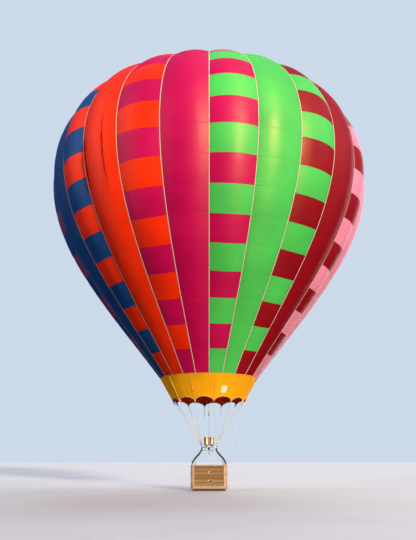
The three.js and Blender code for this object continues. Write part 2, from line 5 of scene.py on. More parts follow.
import bmesh
import bpy
import numpy as np
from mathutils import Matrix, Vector


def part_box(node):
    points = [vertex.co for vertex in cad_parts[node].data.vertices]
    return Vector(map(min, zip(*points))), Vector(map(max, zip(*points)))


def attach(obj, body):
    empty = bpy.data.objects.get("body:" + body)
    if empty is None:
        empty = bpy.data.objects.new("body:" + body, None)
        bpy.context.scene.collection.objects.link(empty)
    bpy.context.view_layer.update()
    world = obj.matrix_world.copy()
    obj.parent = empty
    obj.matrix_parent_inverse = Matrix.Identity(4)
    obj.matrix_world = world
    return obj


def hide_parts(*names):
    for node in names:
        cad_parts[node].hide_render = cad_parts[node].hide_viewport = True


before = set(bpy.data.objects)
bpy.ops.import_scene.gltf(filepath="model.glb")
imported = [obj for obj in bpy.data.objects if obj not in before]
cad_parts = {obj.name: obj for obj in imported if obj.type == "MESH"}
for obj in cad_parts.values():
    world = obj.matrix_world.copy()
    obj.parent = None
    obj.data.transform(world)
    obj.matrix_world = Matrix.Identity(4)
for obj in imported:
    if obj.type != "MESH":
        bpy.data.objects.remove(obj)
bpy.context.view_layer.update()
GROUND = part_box("basket_skids")[0].z

# Sizes of the envelope, in metres
MOUTH_RADIUS = 2.470
MOUTH_HEIGHT = 5.330
MOUTH_SLOPE = math.radians(37.4)
SHAPE_LENGTH = 7.790
CALM_RISE = 1.730
GORE_COUNT = 24
GORE_ANGLE = 2 * math.pi / GORE_COUNT
PANEL_HEIGHT = 1.280
PANEL_ROWS = 17
VENT_LENGTH = PANEL_HEIGHT * PANEL_ROWS
GORE_BULGE = 0.09
SKIN = 0.010
TAPE_WIDTH = 0.040
BAND_WIDTH = 0.060
GAP = 0.0003
CROWN_RING_RADIUS = 0.180
CROWN_RING_TUBE = 0.012
CROWN_EDGE = CROWN_RING_RADIUS + CROWN_RING_TUBE
VALVE_OVERLAP = 0.300
VALVE_DROP = 0.024
SHROUD_DROP = 2.600
BUNDLE_HEIGHT = 3.630

# Sizes of the skirt and the rigging
POINT_COUNT = 12
POINT_COLUMNS = 24
POINT_RADIUS = 1.720
POINT_HEIGHT = 4.060
SCALLOP_RISE = 0.250
SCALLOP_ROUNDNESS = 0.5
WIRE_INSET = 0.025
WIRE_RADIUS = 0.009
LINK_ROD = 0.010
LINK_BOW = 0.016
LINK_LENGTH = 0.060
EYE_RADIUS = 0.013

# Where the short tie leaves a flying wire, and where it holds the slack line
TIE_ON_WIRE = (1.254, 0.280, 3.420)
TIE_ON_LINE = (1.586, 0.204, 3.420)

# Sizes of the load frame and the burner
FRAME_HEIGHT = 2.000
FRAME_X = 0.350
FRAME_Y = 0.400
FRAME_TUBE = 0.030
GIMBAL_X = 0.290
GIMBAL_Y = 0.250
GIMBAL_TUBE = 0.020
BURNER_SPACING = 0.260
CAN_HEIGHT = 0.400
PLATE_TOP = 2.031
VALVE_HEIGHT = 0.050

# Sizes of the basket
BASKET_X = 0.870
BASKET_Y = 0.600
BASKET_CORNER = 0.150
BASKET_WALL = 0.030
SKID_HEIGHT = 0.100
FLOOR_TOP = 0.130
RIM_LOW = 1.130
RIM_TOP = 1.180
RIM_WIDTH = 0.070
WALING_STEP = 0.170
FOOTHOLD_HEIGHTS = (0.460, 0.850)
FOOTHOLD_SIZE = (0.200, 0.110)
FOOTHOLD_X = 0.050
CYLINDER_X = 0.680
CYLINDER_Y = 0.410

# The sides of X that the paired pieces are on, with their names
SIDES = ((-1, "left"), (1, "right"))

# The camera, found from the seams, the check rows and the outline: its place and its pitch
CAMERA_PLACE = (-0.05, -30.8, 1.5)
CAMERA_PITCH = math.radians(17.4)
CAMERA_LENS = 40.0

# The twelve plain gores, from the one left of the middle of the front, anticlockwise from above
GORE_COLOURS = {
    "magenta": (0.590, 0.001, 0.092),
    "green": (0.078, 0.620, 0.112),
    "dark_red": (0.300, 0.002, 0.012),
    "pink": (0.900, 0.300, 0.460),
    "yellow": (0.900, 0.480, 0.004),
    "turquoise": (0.004, 0.330, 0.350),
    "red": (0.640, 0.006, 0.006),
    "sky_blue": (0.040, 0.280, 0.720),
    "violet": (0.090, 0.022, 0.360),
    "purple": (0.260, 0.055, 0.150),
    "blue": (0.002, 0.072, 0.260),
    "orange": (0.990, 0.030, 0.002),
}
GORE_NAMES = list(GORE_COLOURS)

UP = Vector((0, 0, 1))


def spot(x, y, height):
    """A point given by its height above the ground."""
    return Vector((x, y, height + GROUND))


def around(angle, radius, height):
    """A point at an angle from the front, growing towards +X."""
    return spot(radius * math.sin(angle), -radius * math.cos(angle), height)


def round_turns(count):
    """Angles evenly spaced round a circle."""
    return 2 * np.pi * np.arange(count) / count


def hoop(radius, height, half_thickness, count):
    """The outline of a round bar bent into a hoop, to be turned."""
    return [(radius + half_thickness * math.cos(turn), height + half_thickness * math.sin(turn))
            for turn in round_turns(count)]


def aside(turn, reach, rise=0.0):
    """A step at an angle from +X, and upwards."""
    return Vector((reach * math.cos(turn), reach * math.sin(turn), rise))


def ring_of(centre, first, second, radius, count=20):
    """Points of a circle in the plane of two directions."""
    return [centre + first * (radius * math.cos(turn)) + second * (radius * math.sin(turn))
            for turn in round_turns(count)]


def new_object(name, data):
    """An object in the scene, with its mesh, lamp or camera."""
    thing = bpy.data.objects.new(name, data)
    bpy.context.scene.collection.objects.link(thing)
    return thing


def rounded_rectangle(half_x, half_y, corner, steps):
    """The outline of a rectangle with round corners, anticlockwise."""
    points = []
    for quarter, (x, y) in enumerate(((1, 1), (-1, 1), (-1, -1), (1, -1))):
        for step in range(steps + 1):
            turn = math.pi / 2 * (quarter + step / steps)
            points.append((x * (half_x - corner) + corner * math.cos(turn),
                           y * (half_y - corner) + corner * math.sin(turn)))
    return points


# The camera

def make_camera():
    """The camera stands at floor level, looks up, and sees the whole balloon as the photograph does."""
    camera = bpy.data.cameras.new("camera")
    camera.lens = CAMERA_LENS
    holder = new_object("camera", camera)
    holder.location = spot(*CAMERA_PLACE)
    holder.rotation_euler = (math.pi / 2 + CAMERA_PITCH, 0, 0)
    bpy.context.scene.camera = holder


make_camera()


# Node trees

def put(tree, kind, feeds=None, **settings):
    """Adds a node with its settings, and feeds its inputs with values or with other sockets."""
    node = tree.nodes.new(kind)
    for key, value in settings.items():
        setattr(node, key, value)
    dress(tree, node, feeds or {})
    return node


def dress(tree, node, feeds):
    """Feeds inputs of a node or a shader by their names."""
    for key, value in feeds.items():
        feed(tree, node.inputs[key], value)


def feed(tree, socket, value):
    """Links a socket to another one or to a node's first output, or sets its value."""
    if isinstance(value, bpy.types.NodeSocket):
        tree.links.new(value, socket)
    elif isinstance(value, bpy.types.Node):
        tree.links.new(value.outputs[0], socket)
    else:
        socket.default_value = value


def maths(tree, operation, first, second=0.0):
    return put(tree, "ShaderNodeMath", {0: first, 1: second}, operation=operation).outputs[0]


def times(tree, first, second):
    return maths(tree, "MULTIPLY", first, second)


def plus(tree, first, *others):
    for other in others:
        first = maths(tree, "ADD", first, other)
    return first


def parts_of(tree, vector):
    """The X, Y and Z of a vector, by name."""
    return put(tree, "ShaderNodeSeparateXYZ", {"Vector": vector}).outputs


def ripple(tree, value, length):
    """A sine that comes back after each length."""
    return maths(tree, "SINE", times(tree, value, 2 * math.pi / length))


def away_from(tree, value, middle):
    return maths(tree, "ABSOLUTE", maths(tree, "SUBTRACT", value, middle))


def within_row(tree, height, step):
    """How far a height lies from the middle of its row, as a share of the row."""
    return away_from(tree, maths(tree, "FRACT", maths(tree, "DIVIDE", height, step)), 0.5)


def remap(tree, value, low, high, to_low=0.0, to_high=1.0, smooth=False):
    feeds = {"Value": value, "From Min": low, "From Max": high, "To Min": to_low, "To Max": to_high}
    kind = "SMOOTHSTEP" if smooth else "LINEAR"
    return put(tree, "ShaderNodeMapRange", feeds, interpolation_type=kind).outputs[0]


def blended(tree, share, first, second):
    """A mix of two colours."""
    return put(tree, "ShaderNodeMix", {0: share, 6: first, 7: second}, data_type="RGBA").outputs[2]


def scaled(colour, factor):
    return tuple(min(1.0, part * factor) for part in colour[:3]) + (1.0,)


def two_tones(tree, pattern, low, high, colour, first, second):
    """A colour scaled by one factor where a pattern is low, and by another where it is high."""
    return blended(tree, remap(tree, pattern, low, high), scaled(colour, first), scaled(colour, second))


def noise(tree, where, scale, detail=3.0, stretch=(1.0, 1.0, 1.0)):
    """Noise in the range 0 to 1, stretched by a Mapping node."""
    mapped = put(tree, "ShaderNodeMapping", {"Vector": where, "Scale": stretch})
    feeds = {"Vector": mapped, "Scale": scale, "Detail": detail}
    return put(tree, "ShaderNodeTexNoise", feeds).outputs["Fac"]


def small_checks(tree, where, scale):
    return put(tree, "ShaderNodeTexChecker", {"Vector": where, "Scale": scale}).outputs["Fac"]


def value_named(tree, name):
    return put(tree, "ShaderNodeAttribute", attribute_name=name).outputs["Fac"]


def bump(tree, height, strength, distance, below=None):
    feeds = {"Height": height, "Strength": strength, "Distance": distance}
    if below is not None:
        feeds["Normal"] = below
    return put(tree, "ShaderNodeBump", feeds).outputs["Normal"]


def new_material(name):
    """A material with one Principled shader. Returns it, its tree and the shader."""
    material = bpy.data.materials.new(name)
    material.use_nodes = True
    tree = material.node_tree
    return material, tree, tree.nodes["Principled BSDF"]


def on_object(tree):
    return put(tree, "ShaderNodeTexCoord").outputs["Object"]


def on_surface(tree):
    """The piece's own UV map, in metres across and along."""
    return put(tree, "ShaderNodeUVMap", uv_map="surface").outputs["UV"]


def translucent(tree, shader, tone, surface, share):
    """Lets a share of the light through a cloth."""
    through = put(tree, "ShaderNodeBsdfTranslucent", {"Color": tone, "Normal": surface})
    both = put(tree, "ShaderNodeMixShader", {"Fac": share, 1: shader, 2: through})
    feed(tree, tree.nodes["Material Output"].inputs["Surface"], both)


# Finishes

def balloon_cloth(name, colour, glow=0.20, gloss=0.46):
    """Coated ripstop nylon. It shines a little, lets some light through, and gathers at its seams, with
    painted shade beside its tapes.
    """
    material, tree, shader = new_material(name)
    where = on_surface(tree)
    from_row = within_row(tree, parts_of(tree, where)["Y"], PANEL_HEIGHT)
    row_seam = remap(tree, from_row, 0.5 - 0.014, 0.5 - 0.006)
    near_row = remap(tree, from_row, 0.5 - 0.11, 0.5, smooth=True)
    near_tape_gathers_and_shade = remap(tree, value_named(tree, "edge"), 0.32, 0.0, smooth=True)

    patchy = noise(tree, on_object(tree), 0.45, 2.0)
    tone = two_tones(tree, patchy, 0.3, 0.7, colour, 0.9, 1.1)
    tone = blended(tree, times(tree, row_seam, 0.18), tone, scaled(colour, 0.45))
    # Darker beside the tapes: painted shade where the cloth gathers
    tone = blended(tree, times(tree, near_tape_gathers_and_shade, 0.12), tone, scaled(colour, 0.6))

    gathers = noise(tree, where, 1.0, 2.0, (2.2, 11.0, 1.0))
    row_gathers = noise(tree, where, 1.0, 2.0, (9.0, 1.6, 1.0))
    drape = noise(tree, where, 1.0, 1.0, (1.1, 0.7, 1.0))
    height = plus(tree, times(tree, gathers, near_tape_gathers_and_shade),
                  times(tree, times(tree, row_gathers, near_row), 0.35),
                  times(tree, drape, 0.9), times(tree, row_seam, -0.25))
    weave = bump(tree, small_checks(tree, where, 120.0), 0.06, 0.0006)
    surface = bump(tree, height, 0.55, 0.03, weave)

    dress(tree, shader, {
        "Base Color": tone, "Normal": surface,
        "Roughness": remap(tree, patchy, 0.3, 0.7, gloss - 0.03, gloss + 0.05),
        "Specular IOR Level": 0.68, "Specular Tint": (1.0, 0.56, 0.28, 1.0),
        "Anisotropic": 0.45, "Anisotropic Rotation": 0.25,
        "Tangent": put(tree, "ShaderNodeTangent", direction_type="UV_MAP", uv_map="surface")})
    translucent(tree, shader, tone, surface, glow)
    return material


def webbing(name, colour, rib=0.004, roughness=0.75, side=None):
    """Woven tape: ribs across it and rows of stitches. Where a colour is given for its sides, only
    the middle is webbing, and the sides are the folded seam."""
    material, tree, shader = new_material(name)
    place = parts_of(tree, on_surface(tree))
    ribs = ripple(tree, place["Y"], rib)
    worn = noise(tree, on_object(tree), 3.0, 4.0)
    tone = two_tones(tree, worn, 0.3, 0.7, colour, 0.86, 1.08)
    if side is not None:
        beside = remap(tree, maths(tree, "ABSOLUTE", place["X"]), 0.0085, 0.0100)
        tone = blended(tree, beside, tone, scaled(side, 1.0))
    stitches = ripple(tree, place["Y"], 0.012)
    tone = blended(tree, remap(tree, stitches, 0.6, 1.0, 0.0, 0.18), tone, scaled(colour, 0.5))
    dress(tree, shader, {"Base Color": tone, "Normal": bump(tree, ribs, 0.3, 0.0008),
                         "Roughness": roughness, "Sheen Weight": 0.15})
    return material


def skirt_cloth(name, colour, glow):
    """Heavy flame-proof cloth, duller than the envelope, with a plain weave."""
    material, tree, shader = new_material(name)
    where = on_surface(tree)
    smoke = noise(tree, on_object(tree), 0.9, 4.0)
    folds = noise(tree, where, 1.0, 2.0, (5.0, 1.2, 1.0))
    weave = bump(tree, small_checks(tree, where, 300.0), 0.1, 0.0006)
    tone = two_tones(tree, smoke, 0.3, 0.75, colour, 1.05, 0.8)
    surface = bump(tree, folds, 0.35, 0.03, weave)
    dress(tree, shader, {"Base Color": tone, "Normal": surface, "Specular IOR Level": 0.25,
                         "Roughness": remap(tree, smoke, 0.3, 0.7, 0.5, 0.65)})
    translucent(tree, shader, tone, surface, glow)
    return material


def metal(name, colour, roughness, brush=(1.0, 1.0, 30.0), tint=None):
    """Brushed metal with smudges. A tint colours it towards the top, as heat does."""
    material, tree, shader = new_material(name)
    where = on_object(tree)
    lines = noise(tree, where, 12.0, 4.0, brush)
    smudge = noise(tree, where, 5.0, 3.0)
    tone = two_tones(tree, smudge, 0.35, 0.7, colour, 1.0, 0.78)
    if tint:
        rise = plus(tree, parts_of(tree, where)["Z"], times(tree, smudge, 0.08))
        low = PLATE_TOP + VALVE_HEIGHT + GROUND
        tone = blended(tree, remap(tree, rise, low + 0.05, low + CAN_HEIGHT), tone, tint)
    dress(tree, shader, {"Base Color": tone, "Normal": bump(tree, lines, 0.08, 0.0008), "Metallic": 1.0,
                         "Roughness": remap(tree, lines, 0.3, 0.7, roughness * 0.75, roughness * 1.35)})
    return material


def sleeve_cloth(name, colour, grain=0.004, roughness=0.7):
    """A woven sleeve or a padded cover: a fine twill over slack folds."""
    material, tree, shader = new_material(name)
    where = on_surface(tree)
    place = parts_of(tree, where)
    twill = bump(tree, ripple(tree, plus(tree, place["X"], place["Y"]), grain), 0.25, 0.0006)
    folds = noise(tree, where, 14.0, 2.0)
    worn = noise(tree, on_object(tree), 6.0, 4.0)
    dress(tree, shader, {"Base Color": two_tones(tree, worn, 0.35, 0.75, colour, 0.85, 1.35),
                         "Normal": bump(tree, folds, 0.3, 0.006, twill),
                         "Roughness": roughness, "Sheen Weight": 0.2})
    return material


def laid_rope(name, colour, lay=0.030, roughness=0.75):
    """Strands that turn round a rope, drawn on its UV map, with painted shade in the grooves between them."""
    material, tree, shader = new_material(name)
    place = parts_of(tree, on_surface(tree))
    turn = plus(tree, maths(tree, "DIVIDE", place["Y"], lay), place["X"])
    strand = ripple(tree, turn, 1.0)
    dirt = noise(tree, on_object(tree), 9.0, 4.0)
    # Darker where the strand wave is low: painted shade in the grooves between strands
    tone = two_tones(tree, strand, -1.0, 1.0, colour, 0.62, 1.05)
    tone = blended(tree, remap(tree, dirt, 0.45, 0.8, 0.0, 0.4), tone, scaled(colour, 0.5))
    dress(tree, shader, {"Base Color": tone, "Normal": bump(tree, strand, 0.6, 0.002),
                         "Roughness": roughness})
    return material


def wicker(name):
    """Cane and willow. Each strand has its own tone, and the rows darken in broad bands."""
    material, tree, shader = new_material(name)
    where = on_object(tree)
    ramp = put(tree, "ShaderNodeValToRGB", {"Fac": value_named(tree, "strand")})
    tones = ((0.0, (0.205, 0.090, 0.025)), (0.35, (0.340, 0.178, 0.054)),
             (0.7, (0.440, 0.255, 0.090)), (1.0, (0.550, 0.365, 0.165)))
    while len(ramp.color_ramp.elements) < len(tones):
        ramp.color_ramp.elements.new(0.5)
    for element, (place, colour) in zip(ramp.color_ramp.elements, tones):
        element.position = place
        element.color = colour + (1.0,)
    grain = noise(tree, where, 60.0, 4.0, (0.25, 0.25, 3.0))
    weathered = noise(tree, where, 2.4, 4.0)
    darker = remap(tree, grain, 0.3, 0.75, 0.0, 0.45)
    tone = blended(tree, darker, ramp.outputs[0], (0.180, 0.086, 0.029, 1.0))
    greyer = remap(tree, weathered, 0.45, 0.8, 0.0, 0.5)
    tone = blended(tree, greyer, tone, (0.300, 0.205, 0.120, 1.0))
    from_row = within_row(tree, parts_of(tree, where)["Z"], WALING_STEP)
    dark_row = remap(tree, from_row, 0.385, 0.415, 0.0, 0.6)
    tone = blended(tree, dark_row, tone, (0.110, 0.050, 0.015, 1.0))
    dress(tree, shader, {"Base Color": tone, "Normal": bump(tree, grain, 0.35, 0.0015),
                         "Roughness": remap(tree, grain, 0.3, 0.7, 0.38, 0.6), "Coat Weight": 0.15})
    return material


def leather(name, colour, roughness=0.6):
    """Hide with a pebbled grain, darker where hands and boots have rubbed it."""
    material, tree, shader = new_material(name)
    where = on_object(tree)
    cells = put(tree, "ShaderNodeTexVoronoi", {"Vector": where, "Scale": 420.0}, feature="SMOOTH_F1")
    rubbed = noise(tree, where, 7.0, 5.0)
    creases = noise(tree, where, 26.0, 3.0, (1.0, 1.0, 2.0))
    tone = two_tones(tree, rubbed, 0.4, 0.75, colour, 1.06, 0.66)
    tone = blended(tree, remap(tree, creases, 0.55, 0.75, 0.0, 0.3), tone, scaled(colour, 0.5))
    pebbles = bump(tree, cells.outputs["Distance"], 0.3, 0.0008)
    dress(tree, shader, {"Base Color": tone, "Normal": bump(tree, creases, 0.3, 0.003, pebbles),
                         "Roughness": remap(tree, rubbed, 0.3, 0.7, roughness - 0.12, roughness + 0.1)})
    return material


def wood(name, colour, along=(0.6, 9.0, 9.0), roughness=0.6):
    """Sawn wood with its grain along the piece, scuffed and oiled."""
    material, tree, shader = new_material(name)
    where = on_object(tree)
    grain = noise(tree, where, 7.0, 6.0, along)
    scuffs = noise(tree, where, 16.0, 3.0)
    tone = two_tones(tree, grain, 0.35, 0.65, colour, 0.55, 1.25)
    tone = blended(tree, remap(tree, scuffs, 0.6, 0.8, 0.0, 0.45), tone, (0.30, 0.25, 0.19, 1.0))
    dress(tree, shader, {"Base Color": tone, "Normal": bump(tree, grain, 0.3, 0.0015),
                         "Roughness": remap(tree, scuffs, 0.3, 0.7, roughness - 0.1, roughness + 0.15)})
    return material


def moulded(name, colour, roughness=0.45):
    """Moulded rubber or plastic with a fine texture and dust."""
    material, tree, shader = new_material(name)
    where = on_object(tree)
    fine = noise(tree, where, 300.0, 2.0)
    dust = noise(tree, where, 11.0, 4.0)
    tone = blended(tree, remap(tree, dust, 0.5, 0.8, 0.0, 0.25), scaled(colour, 1.0), (0.35, 0.33, 0.30, 1.0))
    dress(tree, shader, {"Base Color": tone, "Normal": bump(tree, fine, 0.12, 0.0005),
                         "Roughness": remap(tree, dust, 0.3, 0.7, roughness, roughness + 0.15)})
    return material


def glowing_coil(name):
    """Burner tube in patches of orange and dark heat colour, with a faint painted orange glow over all of it.
    """
    material, tree, shader = new_material(name)
    patchy = noise(tree, on_object(tree), 40.0, 3.0)
    tone = blended(tree, remap(tree, patchy, 0.35, 0.65), (0.75, 0.36, 0.12, 1.0), (0.42, 0.22, 0.15, 1.0))
    # The emission paints a dull orange glow on the coil, which is no lamp
    dress(tree, shader, {"Base Color": tone, "Roughness": remap(tree, patchy, 0.3, 0.7, 0.25, 0.5),
                         "Metallic": 1.0, "Emission Color": (1.0, 0.22, 0.03, 1.0), "Emission Strength": 0.6})
    return material


RIPSTOP = {name: balloon_cloth("ripstop_" + name, colour) for name, colour in GORE_COLOURS.items()}
VALVE_CLOTH = balloon_cloth("valve_cloth", (0.860, 0.500, 0.015))
TAPE = webbing("woven_tape", (0.760, 0.640, 0.440))
LOAD_TAPE = webbing("load_tape", (0.950, 0.800, 0.600), side=(0.260, 0.120, 0.100))
TRIM_TAPE = webbing("trim_tape", (0.700, 0.480, 0.120))
SKIRT = skirt_cloth("skirt_cloth", (1.000, 0.440, 0.003), 0.15)
# The inside face of the skirt: a darker, redder copy of the skirt cloth, as painted shade
SKIRT_INSIDE_SHADE = skirt_cloth("skirt_lining", (0.950, 0.220, 0.020), 0.50)
PATCH = skirt_cloth("blank_patch", (0.880, 0.740, 0.480), 0.05)
# A very dark sheet in the slots of the turning vent, as painted shade of the open slot
VENT_SLOT_SHADE = skirt_cloth("vent_netting", (0.120, 0.008, 0.004), 0.0)
WIRE_SLEEVE = sleeve_cloth("wire_sleeve", (0.560, 0.470, 0.330))
STEEL = metal("polished_steel", (0.72, 0.72, 0.71), 0.22)
FRAME_STEEL = metal("brushed_steel", (0.66, 0.67, 0.68), 0.34)
BRASS = metal("brass", (0.70, 0.47, 0.17), 0.3)
COPPER = metal("copper_pipe", (0.76, 0.40, 0.22), 0.25)
CAN_STEEL = metal("heated_steel", (0.72, 0.62, 0.50), 0.46, tint=(0.82, 0.34, 0.07, 1.0))
ALUMINIUM = metal("cylinder_metal", (0.66, 0.67, 0.69), 0.36, brush=(1.0, 1.0, 0.15))
COIL_PAINTED_GLOW = glowing_coil("burner_coil")
UPRIGHT_SLEEVE = sleeve_cloth("upright_sleeve", (0.014, 0.014, 0.018))
HOSE_RUBBER = laid_rope("braided_hose", (0.030, 0.030, 0.034), 0.010, 0.5)
ROPE = laid_rope("white_rope", (0.740, 0.700, 0.620))
LINE_ROPE = laid_rope("grey_line", (0.560, 0.530, 0.480), 0.020)
RED_ROPE = laid_rope("red_line", (0.550, 0.035, 0.020), 0.024)
WICKER = wicker("wicker")
RIM_LEATHER = leather("rim_leather", (0.430, 0.270, 0.135))
RAWHIDE = leather("rawhide", (0.330, 0.235, 0.140), 0.55)
CORNER_LEATHER = leather("corner_leather", (0.430, 0.255, 0.155))
STRAP = webbing("strap_webbing", (0.050, 0.050, 0.055), 0.003)
FLOOR_BOARD = wood("floor_board", (0.420, 0.270, 0.130), (3.0, 0.5, 9.0))
SKID_WOOD = wood("skid_wood", (0.085, 0.045, 0.022))
RED_GRIP = moulded("red_grip", (0.480, 0.020, 0.015))
BLACK_RUBBER = moulded("black_rubber", (0.020, 0.020, 0.022), 0.6)
DIAL = moulded("dial_face", (0.800, 0.800, 0.780), 0.3)


# Meshes

class Maker:
    """Collects grids of points into one mesh, with UV places in metres. Tubes, turned shapes and
    shells return the maker."""

    def __init__(self):
        self.points = []
        self.faces = []
        self.places = []
        self.slots = []
        self.values = {}
        self.size = 0

    def add_points(self, points, **values):
        """Adds points, with a named value for each, and returns the number of the first."""
        first = self.size
        points = np.asarray(points, float).reshape(-1, 3)
        self.points.append(points)
        self.size += len(points)
        for key, value in values.items():
            self.values.setdefault(key, []).append((first, np.broadcast_to(value, len(points))))
        return first

    def add_faces(self, faces, places, slot=0):
        faces = np.asarray(faces, int)
        self.faces.append(faces)
        self.places.append(np.asarray(places, float).reshape(len(faces), faces.shape[1], 2))
        self.slots.append(np.broadcast_to(slot, len(faces)))

    def grid(self, points, across, along, round_across=False, round_along=False,
             flip=False, slot=0, keep=None, **values):
        """A grid of quads. points has rows along and columns across; across and along hold their
        places in metres. A round direction joins its last line to its first one."""
        points = np.asarray(points, float)
        rows, columns = points.shape[:2]
        first = self.add_points(points, **{k: np.ravel(v) for k, v in values.items()})
        row, column = np.meshgrid(
            np.arange(rows if round_along else rows - 1),
            np.arange(columns if round_across else columns - 1), indexing="ij")
        row, column = row.ravel(), column.ravel()
        next_row, next_column = (row + 1) % rows, (column + 1) % columns
        faces = first + np.stack([row * columns + column, row * columns + next_column,
                                  next_row * columns + next_column, next_row * columns + column], 1)
        across, along = np.asarray(across, float), np.asarray(along, float)
        if across.ndim == 1:
            across = np.broadcast_to(across, (len(along), len(across)))
        corners = [(row, column), (row, column + 1), (row + 1, column + 1), (row + 1, column)]
        places = np.stack([np.stack([across[r, c], along[r]], 1) for r, c in corners], 1)
        slots = np.broadcast_to(slot, len(faces)) if np.ndim(slot) < 2 else np.ravel(slot)
        if keep is not None:
            kept = np.ravel(keep)
            faces, places, slots = faces[kept], places[kept], slots[kept]
        if flip:
            faces, places = faces[:, ::-1], places[:, ::-1]
        self.add_faces(faces, places, slots)
        return first

    def close_ends(self, first, columns, rows):
        """Closes the first and the last ring of a grid that goes round, with flat faces."""
        ring = first + np.arange(columns)
        for end in (ring[::-1], ring + (rows - 1) * columns):
            self.add_faces(end[None, :], np.zeros((1, columns, 2)))

    def tube(self, path, radius, sides=8, closed=False, section=None, **values):
        """A tube along a path, with flat ends. radius is one number or one for each point."""
        path = np.asarray(path, float)
        normal, other, along = path_frames(path, closed)
        if section is None:
            turn = round_turns(sides)
            section = np.stack([np.cos(turn), np.sin(turn)], 1)
        section = np.asarray(section, float)
        sides = len(section)
        radius = np.broadcast_to(radius, len(path))[:, None, None]
        rings = (path[:, None, :]
                 + radius * (section[None, :, :1] * normal[:, None, :]
                             + section[None, :, 1:] * other[:, None, :]))
        first = self.grid(rings, np.arange(sides + 1) / sides, along, True, closed, **values)
        if not closed:
            self.close_ends(first, sides, len(path))
        return self

    def turned(self, outline, sides, base=(0, 0, 0), axis=(0, 0, 1), closed=False):
        """Turns an outline of (radius, distance along the axis), that runs upwards on its outside.
        An open outline gets flat ends."""
        outline = np.asarray(outline, float)
        axis = np.array(Vector(axis).normalized())
        helper = np.array([1.0, 0.0, 0.0]) if abs(axis[0]) < 0.9 else np.array([0.0, 1.0, 0.0])
        normal = helper - axis * (helper @ axis)
        normal /= np.linalg.norm(normal)
        turn = round_turns(sides)
        spokes = np.cos(turn)[:, None] * normal + np.sin(turn)[:, None] * np.cross(axis, normal)
        rings = (np.asarray(base, float) + outline[:, None, :1] * spokes[None]
                 + outline[:, None, 1:] * axis)
        across = np.arange(sides + 1) / sides * 2 * np.pi * outline[:, 0].max()
        first = self.grid(rings, across, length_so_far(outline, closed), True, closed)
        if not closed:
            self.close_ends(first, sides, len(outline))
        return self

    def shell(self, outer, inner, across, along, round_across=False, slots=(0, 0), keep=None, **values):
        """An outer and an inner grid, joined along all their open edges, round holes too."""
        outer, inner = np.asarray(outer, float), np.asarray(inner, float)
        rows, columns = outer.shape[:2]
        cells = columns if round_across else columns - 1
        kept = np.ones((rows - 1, cells), bool) if keep is None else np.asarray(keep, bool)
        first = self.grid(outer, across, along, round_across, slot=slots[0], keep=kept, **values)
        second = self.grid(inner, across, along, round_across, flip=True, slot=slots[1], keep=kept, **values)
        number = np.arange(rows * columns).reshape(rows, columns)
        framed = np.pad(kept, 1)
        below, above = framed[:-1, 1:-1], framed[1:, 1:-1]
        west, east = framed[1:-1, :-1], framed[1:-1, 1:]
        if round_across:
            west, east = np.roll(kept, 1, 1), kept
        right = (np.arange(cells) + 1) % columns
        edges = []
        for mask, order in ((above & ~below, 1), (below & ~above, -1)):
            row, column = np.nonzero(mask)
            edges.append(np.stack([number[row, column], number[row, right[column]]], 1)[:, ::order])
        for mask, order in ((east & ~west, -1), (west & ~east, 1)):
            row, column = np.nonzero(mask)
            edges.append(np.stack([number[row, column], number[row + 1, column]], 1)[:, ::order])
        edges = np.concatenate(edges)
        start, end = edges[:, 0], edges[:, 1]
        faces = np.stack([first + start, second + start, second + end, first + end], 1)
        self.add_faces(faces, np.zeros((len(faces), 4, 2)))
        return self

    def block(self, low, high, bevel):
        """A box with its edges eased."""
        low, high = np.asarray(low, float), np.asarray(high, float)
        shape = bmesh.new()
        bmesh.ops.create_cube(shape, size=1.0)
        for vertex in shape.verts:
            vertex.co = Vector((low + high) / 2 + np.array(vertex.co) * (high - low))
        bmesh.ops.bevel(shape, geom=shape.edges[:], offset=bevel, segments=2, affect="EDGES")
        shape.verts.index_update()
        first = self.add_points([vertex.co for vertex in shape.verts])
        for face in shape.faces:
            numbers = [first + vertex.index for vertex in face.verts]
            places = [(vertex.co.x + vertex.co.y, vertex.co.z) for vertex in face.verts]
            self.add_faces([numbers], [places])
        shape.free()

    def settle(self, name, material, slot, *replaced, body="root", sharp=40.0):
        """The mesh as a finished piece of one material."""
        return settle(self.piece(name, [material], sharp), body, slot, *replaced)

    def piece(self, name, materials, sharp=40.0):
        """The mesh as an object. Edges sharper than the given angle, in degrees, aren't smoothed."""
        mesh = bpy.data.meshes.new(name)
        points = np.concatenate(self.points)
        faces = [face for group in self.faces for face in group.tolist()]
        mesh.from_pydata(points.tolist(), [], faces)
        places = np.concatenate([group.reshape(-1, 2) for group in self.places])
        mesh.uv_layers.new(name="surface").data.foreach_set("uv", places.astype(np.float32).ravel())
        for material in materials:
            mesh.materials.append(material)
        slots = np.concatenate(self.slots).astype(np.int32)
        mesh.polygons.foreach_set("material_index", slots)
        for key, parts in self.values.items():
            whole = np.zeros(len(points), np.float32)
            for first, values in parts:
                whole[first:first + len(values)] = values
            mesh.attributes.new(key, "FLOAT", "POINT").data.foreach_set("value", whole)
        mesh.polygons.foreach_set("use_smooth", np.ones(len(faces), bool))
        mesh.set_sharp_from_angle(angle=math.radians(sharp))
        return new_object(name, mesh)


def length_so_far(path, closed=False):
    """The length of a line up to each of its points, and back to its start if it is closed."""
    line = np.vstack([path, path[:1]]) if closed else path
    steps = np.linalg.norm(np.diff(line, axis=0), axis=1)
    return np.concatenate([[0], np.cumsum(steps)])


def path_frames(path, closed=False):
    """Two directions across a path at each of its points, that turn with it, and the length so far."""
    ahead, behind = np.roll(path, -1, 0), np.roll(path, 1, 0)
    if not closed:
        ahead[-1], behind[0] = path[-1], path[0]
    along = ahead - behind
    along /= np.linalg.norm(along, axis=1)[:, None]
    start = np.array([0.0, 0.0, 1.0]) if abs(along[0][2]) < 0.9 else np.array([0.0, 1.0, 0.0])
    normals = []
    for direction in along:
        start = start - direction * (start @ direction)
        start = start / np.linalg.norm(start)
        normals.append(start)
    normal = np.array(normals)
    return normal, np.cross(along, normal), length_so_far(path, closed)


